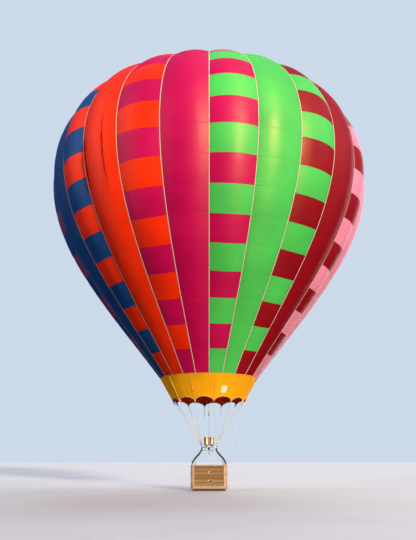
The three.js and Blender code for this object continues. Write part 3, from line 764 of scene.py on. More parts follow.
def curve_through(points, step):
    """A smooth line through a few points, with a point about every step."""
    points = np.array([tuple(point) for point in points], float)
    knots = np.concatenate([[0], np.cumsum(np.sqrt(np.linalg.norm(np.diff(points, axis=0), axis=1)))])
    ends = np.vstack([2 * points[0] - points[1], points, 2 * points[-1] - points[-2]])
    times = np.concatenate([[-knots[1]], knots, [2 * knots[-1] - knots[-2]]])
    line = []
    for i in range(1, len(points)):
        p0, p1, p2, p3 = ends[i - 1:i + 3]
        t0, t1, t2, t3 = times[i - 1:i + 3]
        count = max(1, round(np.linalg.norm(p2 - p1) / step))
        for t in t1 + (t2 - t1) * np.arange(count) / count:
            a1 = ((t1 - t) * p0 + (t - t0) * p1) / (t1 - t0)
            a2 = ((t2 - t) * p1 + (t - t1) * p2) / (t2 - t1)
            a3 = ((t3 - t) * p2 + (t - t2) * p3) / (t3 - t2)
            b1 = ((t2 - t) * a1 + (t - t0) * a2) / (t2 - t0)
            b2 = ((t3 - t) * a2 + (t - t1) * a3) / (t3 - t1)
            line.append(((t2 - t) * b1 + (t - t1) * b2) / (t2 - t1))
    return np.array(line + [points[-1]])


def strands_round(path, radius, count, lay):
    """The middle lines of strands laid round a path."""
    normal, other, along = path_frames(path)
    lines = []
    for strand in range(count):
        turn = 2 * np.pi * (along / lay + strand / count)
        lines.append(path + radius * (np.cos(turn)[:, None] * normal + np.sin(turn)[:, None] * other))
    return lines


def basket_line(places, inset=0.0):
    """Points on the outline of the basket, at shares of its length from the middle of the front
    towards +X, with the direction outwards at each one."""
    half_x, half_y, corner = BASKET_X - inset, BASKET_Y - inset, BASKET_CORNER - inset
    side_x, side_y, arc = 2 * (half_x - corner), 2 * (half_y - corner), corner * math.pi / 2
    total = 2 * (side_x + side_y) + 4 * arc
    points, outward = [], []
    for share in places:
        place = (share % 1.0) * total + side_x / 2
        for side in range(5):
            straight = side_y if side % 2 else side_x
            if place <= straight + arc:
                break
            place -= straight + arc
        facing = -math.pi / 2 + side * math.pi / 2
        sign_x, sign_y = ((1, -1), (1, 1), (-1, 1), (-1, -1))[side % 4]
        middle = Vector((sign_x * (half_x - corner), sign_y * (half_y - corner)))
        middle -= Vector((-math.sin(facing), math.cos(facing))) * max(0.0, straight - place)
        turn = facing + max(0.0, place - straight) / corner
        out = Vector((math.cos(turn), math.sin(turn)))
        points.append(middle + corner * out)
        outward.append(out)
    return np.array(points), np.array(outward)


def basket_ring(places, offsets, heights):
    """Grid points on the outline of the basket: one row for each pair of offset and height."""
    line, out = basket_line(places)
    rows = [np.column_stack([line + out * offset, np.full(len(line), height + GROUND)])
            for offset, height in zip(offsets, heights)]
    return np.array(rows)


# Geometry Nodes

def new_tree(name, sockets):
    """An empty tree with its inputs. Returns it, what is given to it and its output node."""
    tree = bpy.data.node_groups.new(name, "GeometryNodeTree")
    tree.interface.new_socket("Geometry", in_out="INPUT", socket_type="NodeSocketGeometry")
    for label, kind in sockets:
        tree.interface.new_socket(label, in_out="INPUT", socket_type="NodeSocket" + kind)
    tree.interface.new_socket("Geometry", in_out="OUTPUT", socket_type="NodeSocketGeometry")
    return tree, put(tree, "NodeGroupInput").outputs, put(tree, "NodeGroupOutput")


def finish_tree(tree, given, result, grown):
    """Makes the instances real, gives them the material and joins them to the output."""
    real = put(tree, "GeometryNodeRealizeInstances", {"Geometry": grown})
    dressed = put(tree, "GeometryNodeSetMaterial", {"Geometry": real, "Material": given["Material"]})
    feed(tree, result.inputs["Geometry"], dressed)
    return tree


def grow(name, seed, tree, **values):
    """Runs a tree on a seed object, and returns its result as a plain mesh object."""
    modifier = seed.modifiers.new(tree.name, "NODES")
    modifier.node_group = tree
    for item in tree.interface.items_tree:
        key = item.name.lower().replace(" ", "_")
        if item.in_out == "INPUT" and key in values:
            modifier[item.identifier] = values[key]
    grown = seed.evaluated_get(bpy.context.evaluated_depsgraph_get())
    mesh = bpy.data.meshes.new_from_object(grown)
    mesh.name = name
    for old in [seed, *(value for value in values.values() if isinstance(value, bpy.types.Object))]:
        bpy.data.objects.remove(old)
    mesh.set_sharp_from_angle(angle=math.radians(45))
    return new_object(name, mesh)


def ring_tree():
    """Copies of the seed's own mesh, evenly spaced round the upright axis."""
    tree, given, result = new_tree("copies_round_the_axis", [("Count", "Int"), ("Material", "Material")])
    count = given["Count"]
    line = put(tree, "GeometryNodeMeshLine", {"Count": count, "Offset": (0, 0, 0)})
    step = maths(tree, "DIVIDE", 2 * math.pi, count)
    turn = times(tree, put(tree, "GeometryNodeInputIndex"), step)
    spin = put(tree, "ShaderNodeCombineXYZ", {"Z": turn})
    copies = put(tree, "GeometryNodeInstanceOnPoints",
                 {"Points": line, "Instance": given["Geometry"], "Rotation": spin})
    return finish_tree(tree, given, result, copies)


def direction_named(tree, name):
    node = put(tree, "GeometryNodeInputNamedAttribute", {"Name": name}, data_type="FLOAT_VECTOR")
    return node.outputs["Attribute"]


def stamp_tree():
    """A copy of a stamp on each point of the seed. The stamp's Z turns to the point's "out"
    direction and its X to the point's "run" direction."""
    tree, given, result = new_tree("stamps_on_points", [("Stamp", "Object"), ("Material", "Material")])
    stamp = put(tree, "GeometryNodeObjectInfo", {"Object": given["Stamp"]})
    outwards = put(tree, "FunctionNodeAlignRotationToVector", {"Vector": direction_named(tree, "out")},
                   axis="Z", pivot_axis="AUTO")
    rotation = put(tree, "FunctionNodeAlignRotationToVector",
                   {"Vector": direction_named(tree, "run"), "Rotation": outwards}, axis="X", pivot_axis="Z")
    copies = put(tree, "GeometryNodeInstanceOnPoints",
                 {"Points": given["Geometry"], "Instance": stamp.outputs["Geometry"],
                  "Rotation": rotation})
    return finish_tree(tree, given, result, copies)


def weave_tree():
    """Rows of strands that pass in front of one stake and behind the next. The seed is one closed
    line of points with their "out" directions, and the footholds stay open."""
    sockets = [("Rows", "Int"), ("Points", "Int"), ("Points per Stake", "Int"), ("Pitch", "Float"),
               ("Bow", "Float"), ("Strand Radius", "Float"), ("Material", "Material")]
    tree, given, result = new_tree("woven_wall", sockets)
    offset = put(tree, "ShaderNodeCombineXYZ", {"Z": given["Pitch"]})
    rows = put(tree, "GeometryNodeMeshLine", {"Count": given["Rows"], "Offset": offset})
    stacked = put(tree, "GeometryNodeInstanceOnPoints",
                  {"Points": rows, "Instance": given["Geometry"]})
    lines = put(tree, "GeometryNodeRealizeInstances", {"Geometry": stacked})
    index = put(tree, "GeometryNodeInputIndex").outputs[0]
    row = maths(tree, "FLOOR", maths(tree, "DIVIDE", plus(tree, index, 0.5), given["Points"]))
    stake = maths(tree, "DIVIDE", index, given["Points per Stake"])
    side = maths(tree, "COSINE", times(tree, plus(tree, stake, row), math.pi))
    feeds = {0: direction_named(tree, "out"), "Scale": times(tree, side, given["Bow"])}
    push = put(tree, "ShaderNodeVectorMath", feeds, operation="SCALE")
    waved = put(tree, "GeometryNodeSetPosition", {"Geometry": lines, "Offset": push})
    band = maths(tree, "FLOOR", maths(tree, "DIVIDE", row, 7.0))
    tone = 0.0
    for group, seed, share in ((row, 7, 0.5), (band, 3, 0.5)):
        chance = put(tree, "FunctionNodeRandomValue", {"ID": group, "Seed": seed}, data_type="FLOAT")
        tone = plus(tree, times(tree, chance.outputs[1], share), tone)
    toned = put(tree, "GeometryNodeStoreNamedAttribute", {"Geometry": waved, "Name": "strand", "Value": tone},
                data_type="FLOAT", domain="POINT")
    cut = put(tree, "GeometryNodeDeleteGeometry", {"Geometry": toned, "Selection": in_foothold(tree)},
              domain="POINT")
    curves = put(tree, "GeometryNodeMeshToCurve", {"Mesh": cut})
    section = put(tree, "GeometryNodeCurvePrimitiveCircle",
                  {"Resolution": 4, "Radius": given["Strand Radius"]})
    strands = put(tree, "GeometryNodeCurveToMesh",
                  {"Curve": curves, "Profile Curve": section, "Fill Caps": True})
    smooth = put(tree, "GeometryNodeSetShadeSmooth", {"Geometry": strands})
    return finish_tree(tree, given, result, smooth)


def in_foothold(tree):
    """1 where a point lies in a foothold, and 0 elsewhere."""
    place = parts_of(tree, put(tree, "GeometryNodeInputPosition"))
    side = maths(tree, "SIGN", place["Y"])
    mirrored = times(tree, times(tree, place["X"], side), -1.0)
    across = maths(tree, "LESS_THAN", away_from(tree, mirrored, FOOTHOLD_X), FOOTHOLD_SIZE[0] / 2)
    found = 0.0
    for height in FOOTHOLD_HEIGHTS:
        away = away_from(tree, place["Z"], height + GROUND)
        found = maths(tree, "MAXIMUM", found, maths(tree, "LESS_THAN", away, FOOTHOLD_SIZE[1] / 2))
    return times(tree, across, found)


RING_TREE = ring_tree()
STAMP_TREE = stamp_tree()
WEAVE_TREE = weave_tree()


def seed_points(places, out=None, run=None, edges=()):
    """An object of loose points, with the directions that the trees read."""
    mesh = bpy.data.meshes.new("seed")
    mesh.from_pydata([tuple(place) for place in places], list(edges), [])
    for name, values in (("out", out), ("run", run)):
        if values is not None:
            data = mesh.attributes.new(name, "FLOAT_VECTOR", "POINT").data
            data.foreach_set("vector", np.asarray(values, np.float32).ravel())
    return new_object("seed", mesh)


def stamped(name, places, out, run, stamp, material, body, slot, *replaced):
    """A copy of a stamp on each place. One run stands for the same one at all of them."""
    if np.ndim(run) == 1:
        run = [run] * len(places)
    grown = grow(name, seed_points(places, out, run), STAMP_TREE, stamp=stamp.piece("stamp", []),
                 material=material)
    settle(grown, body, slot, *replaced)


def ringed(name, maker, count, material, body, slot, *replaced):
    """Copies of what a maker holds, round the axis of the balloon."""
    grown = grow(name, maker.piece("seed", []), RING_TREE, count=count, material=material)
    settle(grown, body, slot, *replaced)


def settle(piece, body, slot, *replaced):
    """Puts a finished piece on its body, and hides the nodes that it stands for. The slot is not used."""
    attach(piece, body)
    if replaced:
        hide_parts(*replaced)
    return piece


# Cords

def length_of(path):
    return float(length_so_far(path)[-1])


def make_hose(side, word):
    """A fuel hose, from its cylinder up beside the back upright to the block under the burner."""
    route = [(0.680, 0.410, 1.0606), (0.680, 0.410, 1.1006), (0.682, 0.413, 1.150), (0.690, 0.424, 1.230),
             (0.694, 0.436, 1.310), (0.684, 0.444, 1.395), (0.650, 0.440, 1.470), (0.598, 0.430, 1.535),
             (0.532, 0.412, 1.600), (0.468, 0.392, 1.665), (0.415, 0.374, 1.735), (0.376, 0.352, 1.805),
             (0.335, 0.328, 1.855), (0.280, 0.290, 1.872), (0.215, 0.232, 1.862), (0.150, 0.160, 1.845),
             (0.092, 0.092, 1.836), (0.050, 0.040, 1.846), (0.030, 0.012, 1.872), (0.025, 0.000, 1.898),
             (0.025, 0.000, 1.920)]
    path = curve_through([spot(side * x, y, z) for x, y, z in route], 0.022)
    node = "fuel_hose_" + word
    thickness = 0.022
    hose = Maker().tube(path, thickness / 2, 10).settle(node + "_braided", HOSE_RUBBER, "hose_rubber", node)
    collars = Maker()
    for place, reach in ((0, 1), (len(path) - 1, -1)):
        collars.tube(path[place:place + reach * 3:reach], 0.0135, 6)
    fittings = collars.settle(node + "_fittings", BRASS, "brass_valve")
    length_of(path)


def make_hanging_loop():
    """The loop of rope under the front bar of the load frame, laid up of three strands."""
    top = FRAME_HEIGHT - FRAME_TUBE / 2 - GAP
    route = [(-0.120, top), (-0.120, 1.950), (-0.121, 1.880), (-0.116, 1.800), (-0.102, 1.715),
             (-0.082, 1.635), (-0.054, 1.562), (-0.018, 1.500), (0.024, 1.452), (0.062, 1.432),
             (0.100, 1.440), (0.138, 1.470), (0.176, 1.528), (0.212, 1.606), (0.240, 1.690),
             (0.262, 1.785), (0.275, 1.880), (0.280, 1.950), (0.280, top)]
    path = curve_through([spot(x, -FRAME_Y, z) for x, z in route], 0.010)
    maker = Maker()
    for strand in strands_round(path, 0.0058, 3, 0.075):
        maker.tube(strand, 0.0062, 7)
    loop = maker.settle("hanging_rope_loop", ROPE, "rope", "hanging_loop")
    whipping = Maker()
    for wrapped in (path[3:28], path[-28:-3]):
        whipping.tube(wrapped, 0.019, 12)
    sleeves = whipping.settle("hanging_loop_sleeves", ROPE, "rope")
    length_of(path)


def make_turning_vent_line():
    """The slack line of the turning vent, from the right of the mouth to the rim of the basket."""
    start = wire_joint(3)
    route = [(start.x + 0.004, start.y, start.z - GROUND - 0.024), (1.664, 0.222, 4.000),
             (1.652, 0.220, 3.900), (1.634, 0.216, 3.760), (1.612, 0.210, 3.600), (1.586, 0.204, 3.420),
             (1.556, 0.196, 3.220), (1.522, 0.188, 3.010), (1.484, 0.178, 2.790), (1.440, 0.168, 2.570),
             (1.390, 0.156, 2.350), (1.336, 0.144, 2.140), (1.272, 0.132, 1.930), (1.196, 0.118, 1.740),
             (1.110, 0.104, 1.570), (1.020, 0.092, 1.430), (0.930, 0.084, 1.322), (0.876, 0.080, 1.262),
             (0.860, 0.080, 1.222), (0.860, 0.080, RIM_TOP + GAP)]
    path = curve_through([spot(*place) for place in route], 0.030)
    line = Maker().tube(path, 0.006).settle("turning_vent_line_cord", LINE_ROPE, "rope", "turning_vent_line")
    length_of(path)
    tie = Maker().tube([spot(*TIE_ON_WIRE), spot(*TIE_ON_LINE)], 0.005)
    tie.settle("turning_vent_line_tie", ROPE, "rope")


def wire_joint(point):
    """Where a flying wire meets a point of the skirt."""
    angle = GORE_ANGLE / 2 + 2 * math.pi * point / POINT_COUNT
    return around(angle, POINT_RADIUS - WIRE_INSET, POINT_HEIGHT)


for hose_side in SIDES:
    make_hose(*hose_side)
make_hanging_loop()
make_turning_vent_line()


# The shape of the envelope

def natural_profile():
    """The line of a seam, every centimetre up from the mouth: radius, height and slope."""
    step = 0.010
    slope, radius, rise = MOUTH_SLOPE, MOUTH_RADIUS, 0.0
    line = []
    while radius > step:
        line.append((radius, MOUTH_HEIGHT + rise, slope))
        slope -= radius * (rise - CALM_RISE) / SHAPE_LENGTH ** 3 * step / 2
        radius += math.sin(slope) * step
        rise += math.cos(slope) * step
        slope -= radius * (rise - CALM_RISE) / SHAPE_LENGTH ** 3 * step / 2
    return np.array(line), step


PROFILE, PROFILE_STEP = natural_profile()
PROFILE_LENGTH = (len(PROFILE) - 1) * PROFILE_STEP


def on_profile(length, out=0.0):
    """Radius and height above the ground, at a length up from the mouth, moved out from the skin."""
    length = np.asarray(length, float)
    place = np.clip(length, 0, PROFILE_LENGTH) / PROFILE_STEP
    index = np.arange(len(PROFILE))
    radius, height, slope = (np.interp(place, index, PROFILE[:, i]) for i in range(3))
    below = np.minimum(length, 0)
    radius = radius + below * np.sin(slope) + out * np.cos(slope)
    height = height + below * np.cos(slope) - out * np.sin(slope)
    return radius, height


def turned_to(angle, radius, height):
    """Points at angles from the front, growing towards +X, in the row's frame."""
    angle, radius, height = np.broadcast_arrays(angle, radius, height)
    return np.stack([radius * np.sin(angle), -radius * np.cos(angle), height + GROUND], -1)


def crown_length():
    """The length of a seam from the mouth up to the crown ring."""
    widest = np.argmax(PROFILE[:, 0])
    rows = np.arange(widest, len(PROFILE))
    return PROFILE_STEP * float(np.interp(-CROWN_EDGE, -PROFILE[widest:, 0], rows))


CROWN_LENGTH = crown_length()
VALVE_RIM_LENGTH = VENT_LENGTH - VALVE_OVERLAP
CROWN_HEIGHT = float(on_profile(CROWN_LENGTH, -SKIN / 2)[1])


def bulge(length):
    """How far the middle of a gore stands out between its tapes."""
    inside = np.clip(length / VENT_LENGTH, 0, 1)
    return GORE_BULGE * GORE_ANGLE * on_profile(length)[0] * np.sin(np.pi * inside) ** 0.6


def gore_edge(length):
    """The angle from the middle of a seam to the edge of the cloth."""
    return np.arcsin((TAPE_WIDTH / 2 + GAP) / on_profile(length, -SKIN)[0])


def cloth_out(share, length):
    """How far the skin stands out, at a share of a gore's width. Each sewn row pulls it in a little,
    and the tapes gather the cloth beside them."""
    arch = 4 * share * (1 - share)
    row = length / PANEL_HEIGHT
    nearness = np.abs(row - np.round(row)) * PANEL_HEIGHT
    ends = np.clip(np.minimum(length, VENT_LENGTH - length) / 0.4, 0, 1)
    pull = 0.011 * np.exp(-(nearness / 0.10) ** 2) * arch ** 0.5
    beside = np.minimum(share, 1 - share)
    gathers = 0.006 * np.sin(2 * np.pi * length / 0.43 + 9 * np.sin(length)) * arch * np.exp(-beside / 0.12)
    return arch * bulge(length) - ends * (pull + gathers)


# The envelope

GORE_COLUMNS = 14
ROWS_PER_PANEL = 12


def cloth_faces(index, share, length, out, thickness):
    """The outer and the inner points of cloth on a gore."""
    edge = gore_edge(length)
    angle = GORE_ANGLE * index + edge + (GORE_ANGLE - 2 * edge) * share
    faces = []
    for depth in (0.0, thickness):
        radius, height = on_profile(length, out - depth)
        faces.append(turned_to(angle, radius, height))
    return faces


def make_gore(index, name, low_colour, high_colour, slot):
    """One gore: a closed sheet of cloth between two tapes. Its rows take turns with two colours."""
    rows = PANEL_ROWS * ROWS_PER_PANEL
    length = np.linspace(0, VENT_LENGTH, rows + 1)[:, None]
    share = np.linspace(0, 1, GORE_COLUMNS + 1)[None, :]
    outer, inner = cloth_faces(index, share, length, cloth_out(share, length), SKIN)
    width = GORE_ANGLE * on_profile(length)[0]
    panel = np.arange(rows)[:, None] // ROWS_PER_PANEL % 2
    panel = np.broadcast_to(panel, (rows, GORE_COLUMNS))
    maker = Maker().shell(outer, inner, width * share, length[:, 0], slots=(panel, panel),
                          edge=width * np.minimum(share, 1 - share))
    gore = maker.piece(name + "_cloth", [low_colour, high_colour], 60)
    settle(gore, "root", slot, name)


def make_gores():
    """The plain gores, and between each two of them one that checks their colours."""
    for index, colour in enumerate(GORE_NAMES):
        following = GORE_NAMES[(index + 1) % len(GORE_NAMES)]
        make_gore(2 * index - 1, "gore_" + colour, RIPSTOP[colour], RIPSTOP[colour], "ripstop_" + colour)
        checks = colour + "_and_" + following
        make_gore(2 * index, "gore_" + checks, RIPSTOP[following], RIPSTOP[colour], "checks_" + checks)


def make_load_tapes():
    """A tape of T section on each seam, from the mouth to the crown ring, and the band at the mouth."""
    maker = Maker()
    length = np.linspace(-BAND_WIDTH, CROWN_LENGTH - GAP, 118)
    half_cap, half_web = TAPE_WIDTH / 2 + 0.003, TAPE_WIDTH / 2 - 0.0005
    section = [(-half_web, 0.0), (-half_cap, 0.0008), (-half_cap + 0.002, 0.003), (0.0, 0.0042),
               (half_cap - 0.002, 0.003), (half_cap, 0.0008), (half_web, 0.0), (half_web, -SKIN),
               (-half_web, -SKIN)]
    rings = []
    for lateral, out in section:
        radius, height = on_profile(length, out)
        ring = turned_to(0.0, radius, height)
        ring[:, 0] += lateral
        rings.append(ring)
    points = np.stack(rings, 1)
    across = [lateral for lateral, _ in section] + [section[0][0]]
    first = maker.grid(points, across, length, True)
    maker.close_ends(first, len(section), len(length))
    ringed("load_tapes_woven", maker, GORE_COUNT, LOAD_TAPE, "root", "tape", "load_tapes")

    outline = [(-BAND_WIDTH, -SKIN), (-BAND_WIDTH, 0.0012), (-0.004, 0.0012), (-GAP, 0.0), (-GAP, -SKIN)]
    rows = [on_profile(length, out) for length, out in outline]
    band = Maker().turned([(radius, height + GROUND) for radius, height in rows], 192, closed=True)
    band.settle("mouth_band", SKIRT, "tape", "load_tapes")


def make_turning_vent():
    """Two flaps of the turning vent on the plain gore left of the front: each is sewn along its left
    side, its other side stands off in waves, and a very dark sheet in the slot behind it paints its shade."""
    gore_index = 2 * GORE_NAMES.index("orange") - 1
    # from and to across the gore, from and to along it, and how far the free side stands off
    flaps = ((0.020, 0.100, 9.5, 12.1, 0.090), (0.620, 0.690, 9.4, 12.9, 0.045))
    for number, (share_from, share_to, low, high, lip) in enumerate(flaps, 1):
        length = np.linspace(low, high, 41)[:, None]
        part = np.linspace(0, 1, 9)[None, :]
        share = share_from + (share_to - share_from) * part
        rise = np.sin(np.pi * (length - low) / (high - low)) ** 0.6
        waves = 1 + 0.3 * np.sin(14 * length + 2 * np.sin(5 * length))
        out = cloth_out(share, length) + 0.004 + lip * rise * waves * part ** 1.5
        outer, inner = cloth_faces(gore_index, share, length, out, 0.003)
        maker = Maker().shell(outer, inner, part[0] * 0.35, length[:, 0], edge=0.3)
        flap = maker.settle("turning_vent_flap_%d" % number, RIPSTOP["orange"], "ripstop_orange",
                            "gore_orange")
        # A very dark sheet under each free side: painted shade of the open slot
        share = share_from + 0.004 + (share_to - share_from - 0.004) * part
        outer, inner = cloth_faces(gore_index, share, length, cloth_out(share, length) + 0.002, 0.001)
        slot_shade = Maker().shell(outer, inner, part[0] * 0.35, length[:, 0], edge=0.3)
        slot_shade.settle("turning_vent_netting_%d" % number, VENT_SLOT_SHADE, "ripstop_orange", "gore_orange")


def make_crown():
    """The crown ring with a loop of each tape round it, and the edge tape of the vent."""
    bar = hoop(CROWN_RING_RADIUS, CROWN_HEIGHT + GROUND, CROWN_RING_TUBE - 0.0015, 14)
    Maker().turned(bar, 120, closed=True).settle("crown_ring_polished", STEEL, "polished_steel", "crown_ring")

    loops = Maker()
    half, sides, rows = TAPE_WIDTH / 2 / CROWN_RING_RADIUS, 14, 5
    loop, turn = CROWN_RING_TUBE + 0.0015, -round_turns(sides)
    angles = np.linspace(-half, half, rows)[:, None]
    radius, height = CROWN_RING_RADIUS + loop * np.cos(turn), CROWN_HEIGHT + loop * np.sin(turn)
    points = turned_to(angles, radius, height)
    first = loops.grid(points, np.arange(sides + 1) * 0.006, angles[:, 0] * CROWN_RING_RADIUS, True)
    loops.close_ends(first, sides, rows)
    ringed("crown_ring_loops", loops, GORE_COUNT, TAPE, "root", "tape", "load_tapes")

    low, high = on_profile(VENT_LENGTH - 0.030, 0.0), on_profile(VENT_LENGTH + 0.002, 0.0)
    outline = [(low[0], low[1] - 0.001), (low[0], low[1] + 0.0022), (high[0], high[1] + 0.0022),
               (high[0], high[1] - SKIN - 0.001), (high[0] + 0.001, high[1] - SKIN - 0.001)]
    edge = Maker().turned([(radius, height + GROUND) for radius, height in outline], 240, closed=True)
    edge.settle("vent_edge_tape", TAPE, "tape", "load_tapes")


def make_parachute():
    """The parachute that closes the vent: cloth with taped seams, and shroud lines down to a ring."""
    columns = GORE_COUNT * 6
    inside = PROFILE_LENGTH - CROWN_LENGTH
    length = np.concatenate([np.linspace(VALVE_RIM_LENGTH, VENT_LENGTH, 5),
                             np.linspace(VENT_LENGTH, CROWN_LENGTH, 14)[1:],
                             CROWN_LENGTH + inside * np.array([0.4, 0.7, 0.98])])[:, None]
    stations = [VALVE_RIM_LENGTH, VENT_LENGTH, (2 * VENT_LENGTH + CROWN_LENGTH) / 3, CROWN_LENGTH]
    drop = np.interp(length, stations, [SKIN + 0.0014, SKIN + 0.0048, VALVE_DROP, VALVE_DROP])
    angle = round_turns(columns)
    reach = (length - VALVE_RIM_LENGTH) / (PROFILE_LENGTH - VALVE_RIM_LENGTH)
    sag = 0.020 * np.abs(np.sin(GORE_COUNT * angle / 2)) * np.sin(np.pi * reach)
    faces = []
    for depth in (0.0, 0.004):
        radius, height = on_profile(length, -(drop + sag + depth))
        faces.append(turned_to(angle, radius, height))
    across = np.arange(columns + 1) / columns * 2 * np.pi * 2.5
    maker = Maker().shell(*faces, across, length[:, 0], True, edge=0.3)
    cloth = maker.settle("parachute_valve_cloth", VALVE_CLOTH, "valve_cloth", "parachute_valve",
                         body="vent_valve", sharp=60)

    radius, height = on_profile(length[:-1, 0], -(drop[:-1, 0] - 0.0005))
    seam = Maker().tube(turned_to(0.0, radius, height), 1.0,
                        section=[(-0.009, -0.001), (0.009, -0.001), (0.009, 0.0008), (-0.009, 0.0008)])
    ringed("parachute_seam_tapes", seam, GORE_COUNT, TRIM_TAPE, "vent_valve", "valve_cloth")

    hub_height = CROWN_HEIGHT - SHROUD_DROP
    radius, height = on_profile(VALVE_RIM_LENGTH + 0.05, -VALVE_DROP)
    line = Maker().tube([spot(0, -float(radius), float(height)), spot(0, -0.02, hub_height)], 0.0028, 5)
    ringed("parachute_shroud_lines", line, GORE_COUNT, ROPE, "vent_valve", "red_line")
    ring = Maker().turned(hoop(0.025, hub_height + GROUND, 0.005, 10), 32, closed=True)
    ring.settle("parachute_line_ring", STEEL, "polished_steel", body="vent_valve")


def make_valve_line():
    """The line of the parachute, down through the mouth past its bundle to its handle."""
    foot = Vector((0, (FRAME_Y + GIMBAL_Y) / 2, FRAME_HEIGHT - 0.250))
    top = spot(0, 0, CROWN_HEIGHT - VALVE_DROP - SKIN)
    line = Maker().tube(np.linspace(top, spot(*foot), 60), 0.006, 8)
    line.settle("valve_line_braided", RED_ROPE, "red_line", "valve_line", body="vent_valve")
    outline = [(0.008, -0.093), (0.0165, -0.090), (0.018, -0.082), (0.0155, -0.070), (0.015, -0.045),
               (0.0155, -0.020), (0.018, -0.008), (0.0165, 0.0), (0.011, 0.008), (0.004, 0.012)]
    grip = Maker().turned(outline, 24, spot(*foot))
    grip.settle("valve_line_handle", RED_GRIP, "red_line", "valve_line", body="vent_valve")
    outline = [(0.007, -0.120), (0.016, -0.110), (0.027, -0.085), (0.030, -0.050), (0.024, 0.020),
               (0.013, 0.090), (0.007, 0.120)]
    down = (CROWN_HEIGHT - BUNDLE_HEIGHT) / (CROWN_HEIGHT - foot.z)
    bundle = Maker().turned(outline, 20, spot(foot.x * down, foot.y * down, BUNDLE_HEIGHT))
    bundle.settle("valve_line_bundle", RED_ROPE, "red_line", "valve_line", body="vent_valve")


make_gores()
make_load_tapes()
make_turning_vent()
make_crown()
make_parachute()
make_valve_line()


# The skirt and the flying wires

SKIRT_TOP = tuple(float(value) for value in on_profile(-BAND_WIDTH - GAP))


def skirt_low(share):
    """The lower edge of the skirt, at a share of the way from one point to the next."""
    return POINT_HEIGHT + SCALLOP_RISE * np.sin(np.pi * (share % 1.0)) ** SCALLOP_ROUNDNESS


def skirt_hollow(share, up):
    """How far the cloth falls in between two ribs, at a share of its height."""
    between = np.abs(np.sin(np.pi * share)) ** 0.8
    return 0.022 * between * np.sin(np.pi * np.clip(up * 0.85 + 0.05, 0, 1))


def skirt_radius(height):
    """The radius of the skirt's cone."""
    lean = (SKIRT_TOP[0] - POINT_RADIUS) / (SKIRT_TOP[1] - POINT_HEIGHT)
    return POINT_RADIUS + (height - POINT_HEIGHT) * lean


def make_skirt():
    """The skirt: one cloth whose inside face is a darker, redder copy as painted shade; it hollows between
    its ribs and ends in scallops.
    """
    rows, columns = 20, POINT_COUNT * POINT_COLUMNS
    share = np.arange(columns) / POINT_COLUMNS
    angle = GORE_ANGLE / 2 + 2 * np.pi * share / POINT_COUNT
    up = np.linspace(0, 1, rows + 1)[:, None]
    low = skirt_low(share)[None, :]
    height = low + (SKIRT_TOP[1] - low) * up
    wave = 0.006 * np.sin(12 * np.pi * share + 2.0 * np.sin(5 * angle)) * (1 - up) ** 1.5
    radius = skirt_radius(height) - skirt_hollow(share, up) + wave
    faces = [turned_to(angle[None, :], radius - depth, height) for depth in (0.0, 0.006)]
    across = np.arange(columns + 1) / columns * 2 * np.pi * 2.1
    along = np.linspace(0, SKIRT_TOP[1] - POINT_HEIGHT, rows + 1)
    maker = Maker().shell(*faces, across, along, True, slots=(0, 1))
    skirt = maker.piece("mouth_skirt_cloth", [SKIRT, SKIRT_INSIDE_SHADE], 60)
    settle(skirt, "root", "skirt_cloth", "mouth_skirt")
    make_skirt_hem()


def make_skirt_hem():
    """The rope in the lower hem of the skirt, with its cover."""
    share = np.arange(POINT_COUNT * POINT_COLUMNS) / POINT_COLUMNS
    height = skirt_low(share) + 0.004
    angle = GORE_ANGLE / 2 + 2 * np.pi * share / POINT_COUNT
    hem = Maker().tube(turned_to(angle, skirt_radius(height) - 0.003, height), 0.0095, 8, closed=True)
    return hem.settle("skirt_hem", TRIM_TAPE, "skirt_cloth", "mouth_skirt")


def make_skirt_trim():
    """A tape up the skirt from each point, a tab on the point, and the blank patch."""
    height = np.linspace(POINT_HEIGHT + 0.03, SKIRT_TOP[1], 14)
    rib = Maker().tube(turned_to(GORE_ANGLE / 2, skirt_radius(height) + 0.001, height), 1.0,
                       section=[(-0.020, -0.001), (0.020, -0.001), (0.018, 0.0025), (-0.018, 0.0025)])
    ringed("skirt_rib_tapes", rib, POINT_COUNT, TRIM_TAPE, "root", "skirt_cloth", "mouth_skirt")

    height = np.linspace(POINT_HEIGHT - 0.004, POINT_HEIGHT + 0.170, 8)
    tab = Maker().tube(turned_to(GORE_ANGLE / 2, skirt_radius(height) + 0.008, height), 1.0,
                       section=[(-0.026, -0.006), (0.026, -0.006), (0.024, 0.003), (-0.024, 0.003)])
    ringed("skirt_point_tabs", tab, POINT_COUNT, TAPE, "root", "skirt_cloth", "mouth_skirt")

    # how far the patch stands to the right of the front, and the radius of the skirt there
    middle = math.asin(0.73 / 2.08)
    half_angle, low, high = 0.068, 4.47, 4.78
    angle = np.linspace(middle - half_angle, middle + half_angle, 9)
    height = np.linspace(low, high, 7)[:, None]
    share = (angle - GORE_ANGLE / 2) / (2 * math.pi / POINT_COUNT)
    up = (height - skirt_low(share)) / (SKIRT_TOP[1] - skirt_low(share))
    radius = skirt_radius(height) - skirt_hollow(share, up)
    faces = [turned_to(angle[None, :], radius + out, height) for out in (0.004, 0.001)]
    patch = Maker().shell(*faces, np.linspace(0, 0.28, 9), height[:, 0])
    patch.settle("skirt_blank_patch", PATCH, "skirt_cloth", "mouth_skirt", sharp=60)


# The sides of X and Y that each corner is on, its name, and the first of its points on the skirt
CORNERS = ((1, -1, "front_right", 0), (1, 1, "back_right", 3),
           (-1, 1, "back_left", 6), (-1, -1, "front_left", 9))


def corner_link(sign_x, sign_y, first_point):
    """The eye on the frame, the eye of the wires, the way between them and the way across."""
    low = spot(sign_x * FRAME_X, sign_y * FRAME_Y, FRAME_HEIGHT + FRAME_TUBE)
    pull = Vector((0, 0, 0))
    for point in range(3):
        pull += (wire_joint(first_point + point) - low).normalized()
    pull.normalize()
    across = UP.cross(pull).normalized()
    return low, low + pull * (LINK_LENGTH + 2 * LINK_BOW), pull, across


